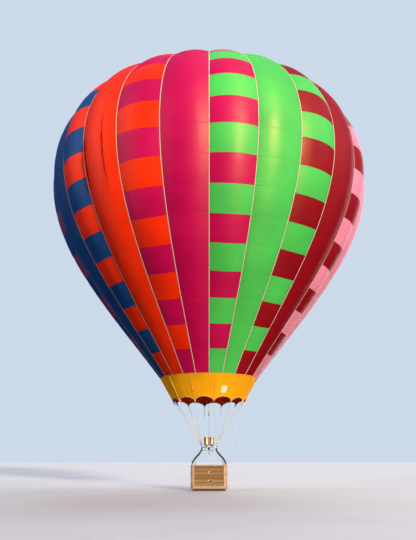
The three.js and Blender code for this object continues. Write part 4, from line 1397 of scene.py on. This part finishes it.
def make_wires(sign_x, sign_y, corner, first_point):
    """Three sleeved wires from a karabiner to three points of the skirt, and a V from each point to
    the tapes on both sides, with pressed ends and thimbles."""
    low, high, pull, across = corner_link(sign_x, sign_y, first_point)
    sleeves, fittings = Maker(), Maker()
    start = high + pull * EYE_RADIUS
    for point in range(first_point, first_point + 3):
        joint = wire_joint(point)
        middle = GORE_ANGLE / 2 + 2 * math.pi * point / POINT_COUNT
        along = (joint - start).normalized()
        sleeves.tube(np.linspace(start + along * 0.09, joint - along * 0.07, 8), WIRE_RADIUS, 8)
        fittings.tube(np.linspace(start - pull * 0.001, start + along * 0.10, 3), 0.0062, 8)
        fittings.tube([joint - along * 0.085, joint], [0.0062, 0.0062], 8)
        eye_way = along.cross(aside(middle, 1.0)).normalized()
        fittings.tube(ring_of(joint, along, eye_way.cross(along), 0.016), 0.0048, 8, closed=True)
        for side in (-0.5, 0.5):
            radius, height = on_profile(-BAND_WIDTH - 0.0024, -WIRE_INSET)
            end = around(middle + side * GORE_ANGLE, float(radius), float(height))
            way = (end - joint).normalized()
            sleeves.tube(np.linspace(joint + way * 0.05, end - way * 0.05, 5), WIRE_RADIUS * 0.9, 8)
            fittings.tube([joint + way * 0.012, joint + way * 0.07], 0.0055, 8)
            fittings.tube([end - way * 0.07, end], 0.0062, 8)
    fittings.tube(ring_of(high, pull, pull.cross(across), EYE_RADIUS), 0.005, 8, closed=True)
    node = "flying_wires_" + corner
    sleeves.settle(node + "_sleeves", WIRE_SLEEVE, "wire_sleeve", node)
    fittings.settle(node + "_fittings", STEEL, "polished_steel", node)

    middle = (low + high) / 2
    bend = np.linspace(-math.pi / 2, math.pi / 2, 10)
    line = [(LINK_LENGTH / 2 + LINK_BOW * math.cos(t), LINK_BOW * math.sin(t)) for t in bend]
    line += [(-LINK_LENGTH / 2 - LINK_BOW * math.cos(t), -LINK_BOW * math.sin(t)) for t in bend]
    link = Maker().tube([middle + pull * a + across * b for a, b in line], LINK_ROD / 2, 10, closed=True)
    gate = [middle + pull * a - across * LINK_BOW for a in (-0.018, -0.016, 0.014, 0.018)]
    link.tube(gate, [0.0058, 0.0075, 0.0075, 0.0058], 12)
    node = "karabiner_" + corner
    link.settle(node + "_steel", STEEL, "polished_steel", node)


make_skirt()
make_skirt_trim()
for wire_corner in CORNERS:
    make_wires(*wire_corner)


# The load frame and the burner

def bar_frame(maker, half_x, half_y, thickness, bend):
    """A square tube bent into a level rectangle."""
    line = [spot(x, y, FRAME_HEIGHT) for x, y in rounded_rectangle(half_x, half_y, bend, 6)]
    half = thickness / 2
    maker.tube(line, 1.0, closed=True, section=rounded_rectangle(half, half, thickness * 0.14, 3))


def hex_bolt(size):
    """A bolt head on its washer, as a stamp."""
    maker = Maker().turned([(size * 1.25, 0), (size * 1.25, size * 0.15), (size * 1.2, size * 0.2)], 16)
    maker.turned([(size, size * 0.2), (size, size * 0.75), (size * 0.85, size * 0.9)], 6)
    return maker


def make_load_frame():
    """The frame that joins the basket to the wires, with an eye and a socket at each corner."""
    bars, eyes = Maker(), Maker()
    bar_frame(bars, FRAME_X, FRAME_Y, FRAME_TUBE, 0.030)
    places, outs = [], []
    socket = [(0.0195, -0.082), (0.0215, -0.080), (0.0215, -0.014), (0.027, -0.005), (0.027, 0.0)]
    bush = [(0.0145, 0.0), (0.0145, 0.0035), (0.0092, 0.0035), (0.0092, 0.0)]
    cap = [(0.0135, 0.0), (0.0135, 0.003), (0.011, 0.005)]
    for sign_x, sign_y, _, first_point in CORNERS:
        corner = Vector((sign_x * FRAME_X, sign_y * FRAME_Y))
        bars.turned(socket, 24, spot(*corner, FRAME_HEIGHT - FRAME_TUBE / 2))
        bars.turned([(0.0135, 0.0), (0.0115, 0.004), (0.008, 0.006)], 16,
                    spot(*corner, FRAME_HEIGHT + FRAME_TUBE / 2 - 0.001))
        low, _, pull, across = corner_link(sign_x, sign_y, first_point)
        eyes.tube(ring_of(low, pull, pull.cross(across), EYE_RADIUS), 0.005, 10, closed=True)
        for height in (-0.030, -0.062):
            beside = corner.y + sign_y * 0.0215
            places.append(spot(corner.x, beside, FRAME_HEIGHT - FRAME_TUBE / 2 + height))
            outs.append((0, sign_y, 0))
    for side in (-1, 1):
        inner_face = spot(side * (FRAME_X - FRAME_TUBE / 2 + 0.001), 0, FRAME_HEIGHT)
        outer_face = spot(side * (FRAME_X + FRAME_TUBE / 2 - 0.001), 0, FRAME_HEIGHT)
        bars.turned(bush, 24, inner_face, (-side, 0, 0), True)
        bars.turned(cap, 24, outer_face, (side, 0, 0))
    bars.settle("load_frame_bars", FRAME_STEEL, "polished_steel", "load_frame", sharp=35)
    eyes.settle("load_frame_eyes", STEEL, "polished_steel", "load_frame")
    stamped("load_frame_bolts", places, outs, (1, 0, 0), hex_bolt(0.005), STEEL,
            "root", "polished_steel", "load_frame")


def make_gimbal():
    """The ring between the load frame and the burner bar, with its two pins."""
    bars = Maker()
    bar_frame(bars, GIMBAL_X, GIMBAL_Y, GIMBAL_TUBE, 0.022)
    pin = [(0.0145, 0.008), (0.0145, 0.020), (0.0125, 0.0225), (0.008, 0.023), (0.008, 0.064)]
    bush = [(0.013, 0.0), (0.013, 0.003), (0.0092, 0.003), (0.0092, 0.0)]
    cap = [(0.0125, 0.0), (0.0125, 0.003), (0.010, 0.005)]
    for side in (-1, 1):
        bars.turned(pin, 24, spot(side * GIMBAL_X, 0, FRAME_HEIGHT), (side, 0, 0))
        reach = GIMBAL_Y - GIMBAL_TUBE / 2
        bars.turned(bush, 24, spot(0, side * (reach + 0.001), FRAME_HEIGHT), (0, -side, 0), True)
        bars.turned(cap, 24, spot(0, side * (GIMBAL_Y + GIMBAL_TUBE / 2 - 0.001), FRAME_HEIGHT), (0, side, 0))
    bars.settle("gimbal_ring_bars", STEEL, "polished_steel", "gimbal_ring", body="gimbal", sharp=35)


def make_burner_bar():
    """The bar and the plate that carry the burners, the block under them and its rubber cup."""
    half = GIMBAL_Y - GIMBAL_TUBE / 2 - 0.010
    bar, block = Maker(), Maker()
    bar.block(spot(-0.020, -half, FRAME_HEIGHT - 0.015), spot(0.020, half, FRAME_HEIGHT + 0.015), 0.003)
    bar.block(spot(-0.205, -0.055, FRAME_HEIGHT + 0.014), spot(0.205, 0.055, PLATE_TOP), 0.003)
    pin = [(0.0125, 0.0), (0.0125, 0.006), (0.008, 0.0065), (0.008, 0.025)]
    for side in (-1, 1):
        bar.turned(pin, 24, spot(0, side * (half - 0.001), FRAME_HEIGHT), (0, side, 0))
    bar.settle("burner_bar_and_plate", FRAME_STEEL, "polished_steel", "burner_bar", body="burner", sharp=35)
    block.block(spot(-0.040, -0.040, FRAME_HEIGHT - 0.060), spot(0.040, 0.040, FRAME_HEIGHT - 0.014), 0.004)
    for side in (-1, 1):
        block.turned([(0.013, 0.0), (0.013, 0.010), (0.0115, 0.012)], 6,
                     spot(side * 0.039, 0, FRAME_HEIGHT - 0.038), (side, 0, 0))
    block.settle("burner_hose_block", BRASS, "brass_valve", "burner_bar", body="burner", sharp=35)

    cup = Maker()
    # half the width, half the depth, height above the ground
    outline = [(0.075, 0.050, 1.908), (0.0755, 0.0505, 1.915), (0.071, 0.047, 1.939), (0.065, 0.043, 1.943),
               (0.030, 0.030, 1.943), (0.030, 0.030, 1.939), (0.063, 0.041, 1.938), (0.071, 0.046, 1.910)]
    rings = [[spot(x, y, height) for x, y in rounded_rectangle(half_x, half_y, 0.020, 8)]
             for half_x, half_y, height in outline]
    count = len(rings[0])
    cup.grid(rings, np.arange(count + 1) * 0.01, np.arange(len(outline) + 1) * 0.01, True, True)
    cup.settle("burner_hose_cup", BLACK_RUBBER, "hose_rubber", "burner_bar", body="burner", sharp=50)

    places = [spot(x, y, PLATE_TOP) for x in (-0.195, -0.066, 0.066, 0.195) for y in (-0.046, 0.046)]
    stamped("burner_plate_bolts", places, [(0, 0, 1)] * len(places), (1, 0, 0), hex_bolt(0.005), STEEL,
            "burner", "polished_steel", "burner_bar")


def make_valve_block(side, word):
    """A brass block with its blast lever to the front, a gauge, unions and the pipe from the hose block."""
    node = "burner_valve_" + word
    low, high = PLATE_TOP + GAP, PLATE_TOP + GAP + VALVE_HEIGHT
    middle = side * BURNER_SPACING / 2
    brass, grip, gauge, dial, pipe = Maker(), Maker(), Maker(), Maker(), Maker()
    brass.block(spot(middle - 0.045, -0.045, low), spot(middle + 0.045, 0.045, high), 0.005)
    nut = [(0.016, 0.0), (0.016, 0.012), (0.0145, 0.0135)]
    stem = [(0.011, 0.0), (0.011, 0.022), (0.009, 0.024)]
    for offset in (-0.024, 0.024):
        for outline, sides in ((nut, 6), (stem, 20)):
            brass.turned(outline, sides, spot(middle + offset, 0.044, low + 0.026), (0, 1, 0))
    for outline, sides in ((nut, 6), (stem, 20)):
        brass.turned(outline, sides, spot(middle + side * 0.044, 0, low + 0.025), (side, 0, 0))
        brass.turned(outline, sides, spot(middle, -0.044, low + 0.035), (0, -1, 0))
    brass.settle(node + "_block", BRASS, "brass_valve", node, body="burner", sharp=35)

    lever = [(0.005, 0.0), (0.005, 0.030), (0.0085, 0.033), (0.0095, 0.040), (0.0085, 0.062),
             (0.0092, 0.085), (0.0088, 0.104), (0.006, 0.111)]
    grip.turned(lever, 16, spot(middle, -0.044, low + 0.035), (0, -1, 0))
    grip.settle(node + "_lever", RED_GRIP, "brass_valve", node, body="burner")

    gauge_x = middle - side * 0.030
    gauge_foot = spot(gauge_x, -0.044, low + 0.020)
    case = [(0.005, 0.0), (0.005, 0.010), (0.017, 0.011), (0.018, 0.013), (0.018, 0.027), (0.016, 0.029)]
    gauge.turned(case, 32, gauge_foot, (0, -1, 0))
    gauge.settle(node + "_gauge", STEEL, "brass_valve", node, body="burner", sharp=35)
    dial.turned([(0.0145, 0.0285), (0.0145, 0.0295)], 32, gauge_foot, (0, -1, 0))
    dial.settle(node + "_gauge_dial", DIAL, "brass_valve", node, body="burner", sharp=35)
    start = spot(gauge_x, -0.0745, low + 0.020)
    hand = Maker().tube([start, start + Vector((side * 0.007, 0, 0.008))], 0.0007, 6)
    hand.settle(node + "_gauge_hand", BLACK_RUBBER, "brass_valve", node, body="burner", sharp=35)

    route = [(middle, 0.058, low + 0.026), (middle, 0.080, low + 0.026), (middle * 0.85, 0.092, low),
             (middle * 0.5, 0.084, low - 0.045), (middle * 0.22, 0.064, low - 0.068),
             (middle * 0.2, 0.038, low - 0.070)]
    pipe.tube(curve_through([spot(*place) for place in route], 0.008), 0.0055, 10)
    pipe.settle(node + "_pipe", COPPER, "brass_valve", node, body="burner")


def rings_round(base, outline, columns):
    """Grid points of an outline of (radius, height) turned round an upright line."""
    turns = round_turns(columns)
    return np.array([np.column_stack([base.x + radius * np.cos(turns), base.y + radius * np.sin(turns),
                                      np.full(columns, base.z + height)]) for radius, height in outline])


def make_can(side, word):
    """A burner can with air slots, a rolled rim, its coil, the ring of jets and the pilot light."""
    node = "burner_can_" + word
    base = spot(side * BURNER_SPACING / 2, 0, PLATE_TOP + 2 * GAP + VALVE_HEIGHT)
    wall = [(0.081, 0.0), (0.093, 0.006), (0.103, 0.016), (0.110, 0.030), (0.1145, 0.048), (0.115, 0.060),
            (0.115, 0.098), (0.115, 0.110), (0.115, 0.200), (0.115, 0.290), (0.115, 0.372), (0.1165, 0.385),
            (0.1165, 0.392), (0.115, 0.399)]
    columns = 72
    faces = [rings_round(base, [(radius - inset, rise) for radius, rise in wall], columns)
             for inset in (0.0, 0.0025)]
    keep = np.ones((len(wall) - 1, columns), bool)
    keep[5, np.arange(columns) % 6 < 2] = False
    can = Maker().shell(*faces, np.arange(columns + 1) * 0.01, [rise for _, rise in wall], True, keep=keep)
    can.turned([(0.080, 0.0), (0.080, 0.004)], 48, base)
    can.turned(hoop(0.1165, 0.3965, 0.0035, 12), columns, base, closed=True)
    for rise in (0.118, 0.376):
        bead = [(0.1148, -0.002), (0.1162, -0.001), (0.1162, 0.001), (0.1148, 0.002)]
        can.turned(bead, columns, base + UP * rise)
    can.settle(node + "_wall", CAN_STEEL, "can_steel", node, body="burner", sharp=35)

    helix = []
    coils, per_coil, coil_radius, pitch = 12, 24, 0.0985, 0.0205
    for turn in np.linspace(0, coils, coils * per_coil + 1):
        helix.append(base + aside(2 * math.pi * turn, coil_radius, 0.070) + UP * (pitch * turn))
    coil = Maker().tube(helix, 0.0058, 8)
    for start in (helix[0], helix[-1]):
        inward = (Vector((base.x, base.y, start.z)) - start).normalized()
        drop = start + inward * 0.018
        route = [start, start + inward * 0.014 - UP * 0.004, drop - UP * 0.020,
                 Vector((drop.x, drop.y, base.z + 0.004))]
        coil.tube(curve_through(route, 0.006), 0.0056, 8)
    coil.settle(node + "_coil", COIL_PAINTED_GLOW, "can_steel", node, body="burner")

    ring = 0.046
    jets = Maker().turned(hoop(ring, 0.026, 0.006, 12), 36, base, closed=True)
    jets.turned([(0.018, 0.003), (0.018, 0.085), (0.015, 0.090), (0.013, 0.091)], 24, base)
    for angle in (0.3, 0.3 + math.pi):
        jets.turned([(0.005, 0.003), (0.005, 0.026)], 10, base + aside(angle, ring))
    jets.settle(node + "_jet_ring", BRASS, "brass_valve", node, body="burner", sharp=35)
    jet = Maker().turned([(0.0035, 0.0), (0.0035, 0.010), (0.002, 0.013)], 8)
    turns = round_turns(16)
    places = [base + aside(turn, ring, 0.030) for turn in turns]
    outs = [aside(turn, 0.35, 1.0) for turn in turns]
    stamped(node + "_jets", places, outs, (0, 0, 1), jet, BRASS, "burner", "brass_valve", node)


make_load_frame()
make_gimbal()
make_burner_bar()
for burner_side in SIDES:
    make_valve_block(*burner_side)
    make_can(*burner_side)


# The basket

def make_woven_wall():
    """The woven wall and its stakes, which stop at the footholds."""
    stakes, per_stake = 96, 3
    count = stakes * per_stake
    line, out = basket_line(np.arange(count) / count, BASKET_WALL / 2)
    pitch, radius = 0.01215, 0.0060
    places = [spot(x, y, FLOOR_TOP + radius + 0.001) for x, y in line]
    outs = [(x, y, 0) for x, y in out]
    edges = [(i, (i + 1) % count) for i in range(count)]
    weave = grow("basket_weave", seed_points(places, outs, edges=edges), WEAVE_TREE, rows=82, points=count,
                 points_per_stake=per_stake, pitch=pitch, bow=0.0090, strand_radius=radius, material=WICKER)
    settle(weave, "root", "wicker", "basket_wall")

    rods = Maker()
    for number, (x, y) in enumerate(line[::per_stake]):
        on_long_side = abs(abs(y) - BASKET_Y + BASKET_WALL / 2) < 0.001
        off_middle = abs(-x * math.copysign(1, y) - FOOTHOLD_X)
        ends = [FLOOR_TOP, RIM_LOW]
        if on_long_side and off_middle < FOOTHOLD_SIZE[0] / 2:
            ends += [height + step * FOOTHOLD_SIZE[1] / 2 for height in FOOTHOLD_HEIGHTS for step in (-1, 1)]
            ends.sort()
        for low, high in zip(ends[::2], ends[1::2]):
            rods.tube([spot(x, y, low), spot(x, y, high)], 0.0048, 6, strand=(number * 0.37) % 1.0)
    rods.settle("basket_stakes", WICKER, "wicker", "basket_wall")


def make_footholds():
    """A leather binding round each foothold."""
    bindings = Maker()
    opening = rounded_rectangle(FOOTHOLD_SIZE[0] / 2, FOOTHOLD_SIZE[1] / 2, 0.020, 5)
    section = [(0.0075 * math.cos(turn), 0.0185 * math.sin(turn)) for turn in round_turns(12)]
    for height in FOOTHOLD_HEIGHTS:
        for side in (-1, 1):
            line = [spot(x - side * FOOTHOLD_X, side * (BASKET_Y - BASKET_WALL / 2), height + z)
                    for x, z in opening]
            bindings.tube(line, 1.0, closed=True, section=section)
    bindings.settle("foothold_bindings", RAWHIDE, "rim_leather", "basket_wall")


RIM_LACES = 46


def make_rim():
    """The padded rim: suede pulled in by a lace at even spaces."""
    per_lace = 10
    count = RIM_LACES * per_lace
    places = np.arange(count) / count
    line, out = basket_line(places, BASKET_WALL / 2)
    shape = []
    for turn in round_turns(20):
        up, over = (math.copysign(abs(part) ** 0.8, part) for part in (math.cos(turn), math.sin(turn)))
        shape.append((up * (RIM_TOP - RIM_LOW) / 2, over * RIM_WIDTH / 2))
    away = np.abs((places * RIM_LACES + 0.5) % 1.0 - 0.5) * 2
    swell = 1.0 - 0.06 * np.exp(-(away / 0.16) ** 2)
    middle = (RIM_TOP + RIM_LOW) / 2
    rim = Maker().tube([spot(x, y, middle) for x, y in line], swell, closed=True, section=shape)
    rim = rim.settle("basket_rim_padded", RIM_LEATHER, "rim_leather", "basket_rim", sharp=60)

    loop = [(0.0, up * 0.965, over * 0.965) for up, over in shape]
    lace = Maker().tube(loop, 0.0024, 6, closed=True)
    chosen = slice(0, count, per_lace)
    spots = [spot(x, y, middle) for x, y in line[chosen]]
    outs = [(x, y, 0) for x, y in out[chosen]]
    runs = [(-y, x, 0) for x, y in out[chosen]]
    stamped("basket_rim_laces", spots, outs, runs, lace, RAWHIDE,
            "root", "rim_leather", "basket_rim")


def make_leather_bands():
    """The scuff band round the foot of the wall and the strips on its corners, nailed and stitched."""
    columns = 240
    places = np.arange(columns) / columns
    heights = [0.104, 0.107, 0.150, 0.200, 0.236, 0.239]
    offsets = [0.0015, 0.0040, 0.0050, 0.0050, 0.0040, 0.0015]
    outer = basket_ring(places, offsets, heights)
    inner = basket_ring(places, [0.0] * len(heights), heights)
    band = Maker().shell(outer, inner, np.arange(columns + 1) * 0.023, heights, True)
    band.settle("basket_scuff_band", RAWHIDE, "rim_leather", "basket_wall", sharp=50)

    strips = Maker()
    heights = np.linspace(0.236, RIM_LOW + 0.006, 16)
    corner_places = (0.149, 0.351, 0.649, 0.851)
    columns = 15
    for corner in corner_places:
        shares = corner + np.linspace(-0.024, 0.024, columns)
        edge = 1 - np.abs(np.linspace(-1, 1, columns)) ** 8
        waves = np.sin(heights[:, None] * 37 + shares * 90)
        outer = basket_ring(shares, (0.0008 + 0.0030 * edge + 0.0008 * waves)[:, :, None], heights)
        inner = basket_ring(shares, [-0.001] * len(heights), heights)
        strips.shell(outer, inner, np.arange(columns) * 0.019, heights)
    strips.settle("basket_corner_strips", CORNER_LEATHER, "rim_leather", "basket_wall", sharp=50)

    nail = Maker().turned([(0.0060, 0.0), (0.0055, 0.0015), (0.0035, 0.0030), (0.0012, 0.0035)], 12)
    count = 44
    line, out = basket_line((np.arange(count) + 0.5) / count)
    spots = [spot(x, y, 0.222) for x, y in line + out * 0.0045]
    outs = [(x, y, 0) for x, y in out]
    stamped("scuff_band_nails", spots, outs, (0, 0, 1), nail, BRASS,
            "root", "rim_leather", "basket_wall")

    line = [(-0.009, 0, -0.002), (-0.007, 0, 0.0008), (0.007, 0, 0.0008), (0.009, 0, -0.002)]
    stitch = Maker().tube(line, 0.0011, 5)
    spots, outs = [], []
    for corner in corner_places:
        line, out = basket_line(corner + np.array([-0.0215, 0.0215]))
        for height in np.arange(0.262, RIM_LOW, 0.026):
            for (x, y), (out_x, out_y) in zip(line + out * 0.0036, out):
                spots.append(spot(x, y, height))
                outs.append((out_x, out_y, 0))
    stamped("corner_strip_stitches", spots, outs, (0, 0, 1), stitch, LINE_ROPE,
            "root", "rim_leather", "basket_wall")


def make_floor_and_skids():
    """The plywood floor and the three runners with two battens, bolted through."""
    columns = 160
    board = Maker()
    rows = basket_ring(np.arange(columns) / columns, [-0.002, 0.0, 0.0, -0.002],
                       [SKID_HEIGHT, 0.102, 0.128, FLOOR_TOP])
    first = board.grid(rows, np.arange(columns + 1) * 0.035, [0.0, 0.003, 0.029, 0.032], True)
    board.close_ends(first, columns, 4)
    board.settle("basket_floor_board", FLOOR_BOARD, "floor_board", "basket_floor", sharp=35)

    skids = Maker()
    high = SKID_HEIGHT - GAP
    for y in (-0.430, 0.0, 0.430):
        skids.block(spot(-0.78, y - 0.035, 0.0), spot(0.78, y + 0.035, high), 0.006)
    for x in (-0.560, 0.560):
        skids.block(spot(x - 0.045, -0.460, high - 0.040), spot(x + 0.045, 0.460, high - 0.0005), 0.004)
    skids.settle("basket_skid_runners", SKID_WOOD, "skid_wood", "basket_skids", sharp=35)
    places = [spot(x, side * 0.465, 0.055) for side in (-1, 1) for x in (-0.72, -0.56, 0.0, 0.56, 0.72)]
    outs = [(0, side, 0) for side in (-1, 1) for _ in range(5)]
    stamped("skid_bolts", places, outs, (1, 0, 0), hex_bolt(0.008), STEEL,
            "root", "skid_wood", "basket_skids")


def make_upright(sign_x, sign_y, corner):
    """A padded sleeve round an upright, with a zip inside and a leather boot on the rim."""
    inset = BASKET_CORNER - (BASKET_CORNER - BASKET_WALL / 2) * math.sqrt(0.5)
    foot = spot(sign_x * (BASKET_X - inset), sign_y * (BASKET_Y - inset), RIM_TOP + GAP)
    head = spot(sign_x * FRAME_X, sign_y * FRAME_Y, FRAME_HEIGHT - FRAME_TUBE / 2 - GAP)
    foot_pull, head_pull = foot + UP * 0.350, head - UP * 0.300
    line = []
    count = 72
    for t in np.linspace(0, 0.985, count):
        line.append(foot * (1 - t) ** 3 + foot_pull * (3 * t * (1 - t) ** 2)
                    + head_pull * (3 * t * t * (1 - t)) + head * t ** 3)
    share = np.linspace(0, 1, count)
    quilt = 0.0275 + 0.0022 * np.abs(np.sin(share * 14 * np.pi)) ** 0.6
    ends = np.clip(np.minimum(share, 1 - share) / 0.03, 0, 1)
    radius = quilt * (0.80 + 0.20 * np.sqrt(ends))
    sleeve = Maker().tube(line, radius, 16)
    node = "upright_" + corner
    sleeve = sleeve.settle(node + "_sleeve", UPRIGHT_SLEEVE, "upright_sleeve", node, sharp=60)

    points = np.array(line)
    inward = np.array([-points[:, 0], -points[:, 1], np.zeros(len(points))]).T
    tangent = np.gradient(points, axis=0)
    tangent /= np.linalg.norm(tangent, axis=1)[:, None]
    inward -= tangent * (inward * tangent).sum(1)[:, None]
    inward /= np.linalg.norm(inward, axis=1)[:, None]
    zip_line = points[3:-3] + inward[3:-3] * (radius[3:-3, None] + 0.0008)
    Maker().tube(zip_line, 0.0026, 6).settle(node + "_zip", BRASS, "upright_sleeve", node)
    outline = [(0.040, -0.012), (0.0415, -0.004), (0.036, 0.012),
               (0.032, 0.050), (0.0325, 0.058), (0.030, 0.060)]
    Maker().turned(outline, 28, foot).settle(node + "_boot", RIM_LEATHER, "upright_sleeve", node)


def make_cylinder(side, word):
    """A fuel cylinder with its foot, seam, guard, valve and two straps."""
    node = "fuel_cylinder_" + word
    base = spot(side * CYLINDER_X, CYLINDER_Y, FLOOR_TOP + GAP)
    outline = [(0.118, 0.0), (0.120, 0.002), (0.120, 0.026), (0.126, 0.030), (0.138, 0.038), (0.147, 0.052),
               (0.150, 0.070), (0.150, 0.400), (0.1512, 0.403), (0.1512, 0.409), (0.150, 0.412)]
    for turn in np.linspace(0, math.pi / 2, 12):
        outline.append((0.150 - 0.110 * (1 - math.cos(turn)), 0.760 + 0.110 * math.sin(turn)))
    outline.append((0.030, 0.872))
    body, guard, valve, wheel, straps, buckles = (Maker() for _ in range(6))
    body.turned(outline, 64, base)
    body.settle(node + "_body", ALUMINIUM, "cylinder_metal", node, sharp=35)
    columns = 64
    heights = [0.832, 0.858, 0.905, 0.925, 0.930]
    faces = [rings_round(base, [(radius, height) for height in heights], columns)
             for radius in (0.098, 0.0945)]
    keep = np.ones((4, columns), bool)
    keep[1, np.arange(columns) % 16 < 10] = False
    guard.shell(*faces, np.arange(columns + 1) * 0.01, heights, True, keep=keep)
    guard.turned(hoop(0.0965, 0.930, 0.005, 10), columns, base, closed=True)
    guard.settle(node + "_guard", ALUMINIUM, "cylinder_metal", node, sharp=35)
    stem = [(0.022, 0.868), (0.022, 0.886), (0.014, 0.889),
            (0.014, 0.915), (0.016, 0.917), (0.016, 0.928)]
    valve.turned(stem, 24, base)
    neck = base + UP * 0.900
    way = Vector((-side, -0.35, 0)).normalized()
    valve.turned([(0.0105, 0.0), (0.0105, 0.034), (0.006, 0.036), (0.006, 0.046)], 16, neck, way)
    valve.settle(node + "_valve", BRASS, "brass_valve", node, sharp=35)
    across = way.cross(UP)
    hub = neck + way * 0.043
    wheel.tube(ring_of(hub, across, UP, 0.022, 24), 0.0042, 8, closed=True)
    for spoke_end in ring_of(hub, across, UP, 0.021, 3):
        wheel.tube([hub, spoke_end], 0.003, 8)
    wheel.settle(node + "_wheel", RED_GRIP, "brass_valve", node)
    for height in (0.230, 0.620):
        band = [(0.1535, height - 0.024), (0.1540, height - 0.020), (0.1540, height + 0.020),
                (0.1535, height + 0.024), (0.1502, height + 0.024), (0.1502, height - 0.024)]
        straps.turned(band, 72, base, closed=True)
        out = aside(math.atan2(-1, -side), 1.0)
        left = Vector((-out.y, out.x, 0))
        centre = base + out * 0.1565 + UP * height
        frame_line = [centre + left * (0.026 * across) + UP * (0.029 * up)
                      for across, up in rounded_rectangle(1.0, 1.0, 0.25, 3)]
        buckles.tube(frame_line, 0.0028, 8, closed=True)
        buckles.tube([centre - UP * 0.028, centre + UP * 0.028], 0.0024, 8)
    straps.settle(node + "_straps", STRAP, "cylinder_metal", node, sharp=35)
    buckles.settle(node + "_buckles", STEEL, "cylinder_metal", node, sharp=35)


def make_grab_handles():
    """Leather carrying handles on the short sides of the basket."""
    handles = Maker()
    section = [(0.014 * math.cos(turn), 0.0045 * math.sin(turn)) for turn in round_turns(12)]
    for side in (-1, 1):
        for middle in (-0.25, 0.25):
            route = [(0.0, -0.115, 0.800), (0.004, -0.112, 0.775), (0.022, -0.075, 0.735),
                     (0.034, 0.0, 0.722), (0.022, 0.075, 0.735), (0.004, 0.112, 0.775), (0.0, 0.115, 0.800)]
            line = curve_through([spot(side * (BASKET_X + out), middle + along, height)
                                  for out, along, height in route], 0.012)
            handles.tube(line, 1.0, section=section)
    handles.settle("basket_grab_handles", RIM_LEATHER, "rim_leather", "basket_wall")


make_woven_wall()
make_footholds()
make_rim()
make_leather_bands()
make_floor_and_skids()
make_grab_handles()
for basket_corner in CORNERS:
    make_upright(*basket_corner[:3])
for cylinder_side in SIDES:
    make_cylinder(*cylinder_side)


# The floor and the light

def make_floor():
    """A plain pale floor. Its own light stays off the balloon."""
    mesh = bpy.data.meshes.new("floor")
    reach = 200.0
    mesh.from_pydata([(-reach, -reach, GROUND), (reach, -reach, GROUND), (reach, reach, GROUND),
                      (-reach, reach, GROUND)], [], [(0, 1, 2, 3)])
    material, tree, shader = new_material("studio_floor")
    dust = noise(tree, on_object(tree), 0.3, 4.0)
    tone = blended(tree, remap(tree, dust, 0.3, 0.7), (0.50, 0.50, 0.49, 1.0), (0.54, 0.54, 0.53, 1.0))
    dress(tree, shader, {"Base Color": tone, "Roughness": 0.9})
    mesh.materials.append(material)
    floor = new_object("floor", mesh)
    floor.visible_glossy = False
    floor.visible_diffuse = False


def make_light():
    """A pale room. The key light is low, on the right of the camera, where the glints on the gores of
    the photograph put it, and weaker ones fill the sides, the back and the top."""
    world = bpy.data.worlds.new("studio")
    world.use_nodes = True
    tree = world.node_tree
    direction = put(tree, "ShaderNodeTexCoord").outputs["Generated"]
    upper = remap(tree, parts_of(tree, direction)["Z"], -0.10, 0.45)
    tone = blended(tree, upper, (0.016, 0.012, 0.012, 1.0), (0.095, 0.150, 0.340, 1.0))
    back = tree.nodes["Background"]
    feed(tree, back.inputs["Color"], tone)
    wall = put(tree, "ShaderNodeBackground", {"Color": (0.60, 0.70, 0.82, 1.0), "Strength": 1.0})
    rays = put(tree, "ShaderNodeLightPath")
    seen = put(tree, "ShaderNodeMixShader", {"Fac": rays.outputs["Is Camera Ray"], 1: back, 2: wall})
    feed(tree, tree.nodes["World Output"].inputs["Surface"], seen)
    bpy.context.scene.world = world
    lights = (
        # name, azimuth, elevation, spread, strength, colour, whether it shows in gloss
        ("key", 28, 13, 8, 5.3, (1.0, 0.86, 0.69), True),
        ("front", 8, 16, 60, 0.25, (1.0, 0.86, 0.66), False),
        ("left", -75, 20, 50, 1.4, (1.0, 0.90, 0.88), False),
        ("left_gloss", -75, 20, 50, 0.25, (0.60, 0.78, 1.0), True),
        ("right", 78, 28, 50, 0.7, (1.0, 0.86, 0.84), False),
        ("right_gloss", 78, 28, 50, 0.35, (1.0, 0.84, 0.84), True),
        ("back", 165, 18, 60, 1.6, (1.0, 0.97, 0.94), True),
        ("top", 160, 65, 40, 1.5, (0.90, 0.94, 1.0), False),
    )
    for name, azimuth, elevation, spread, strength, colour, in_gloss in lights:
        lamp = bpy.data.lights.new(name, "SUN")
        lamp.energy = strength
        lamp.angle = math.radians(spread)
        lamp.color = colour
        holder = new_object(name, lamp)
        holder.visible_glossy = in_gloss
        turn, rise = math.radians(azimuth), math.radians(elevation)
        place = Vector((math.cos(rise) * math.sin(turn), -math.cos(rise) * math.cos(turn), math.sin(rise)))
        holder.rotation_euler = (-place).to_track_quat("-Z", "Y").to_euler()
    bpy.context.scene.view_settings.view_transform = "Standard"


make_floor()
make_light()
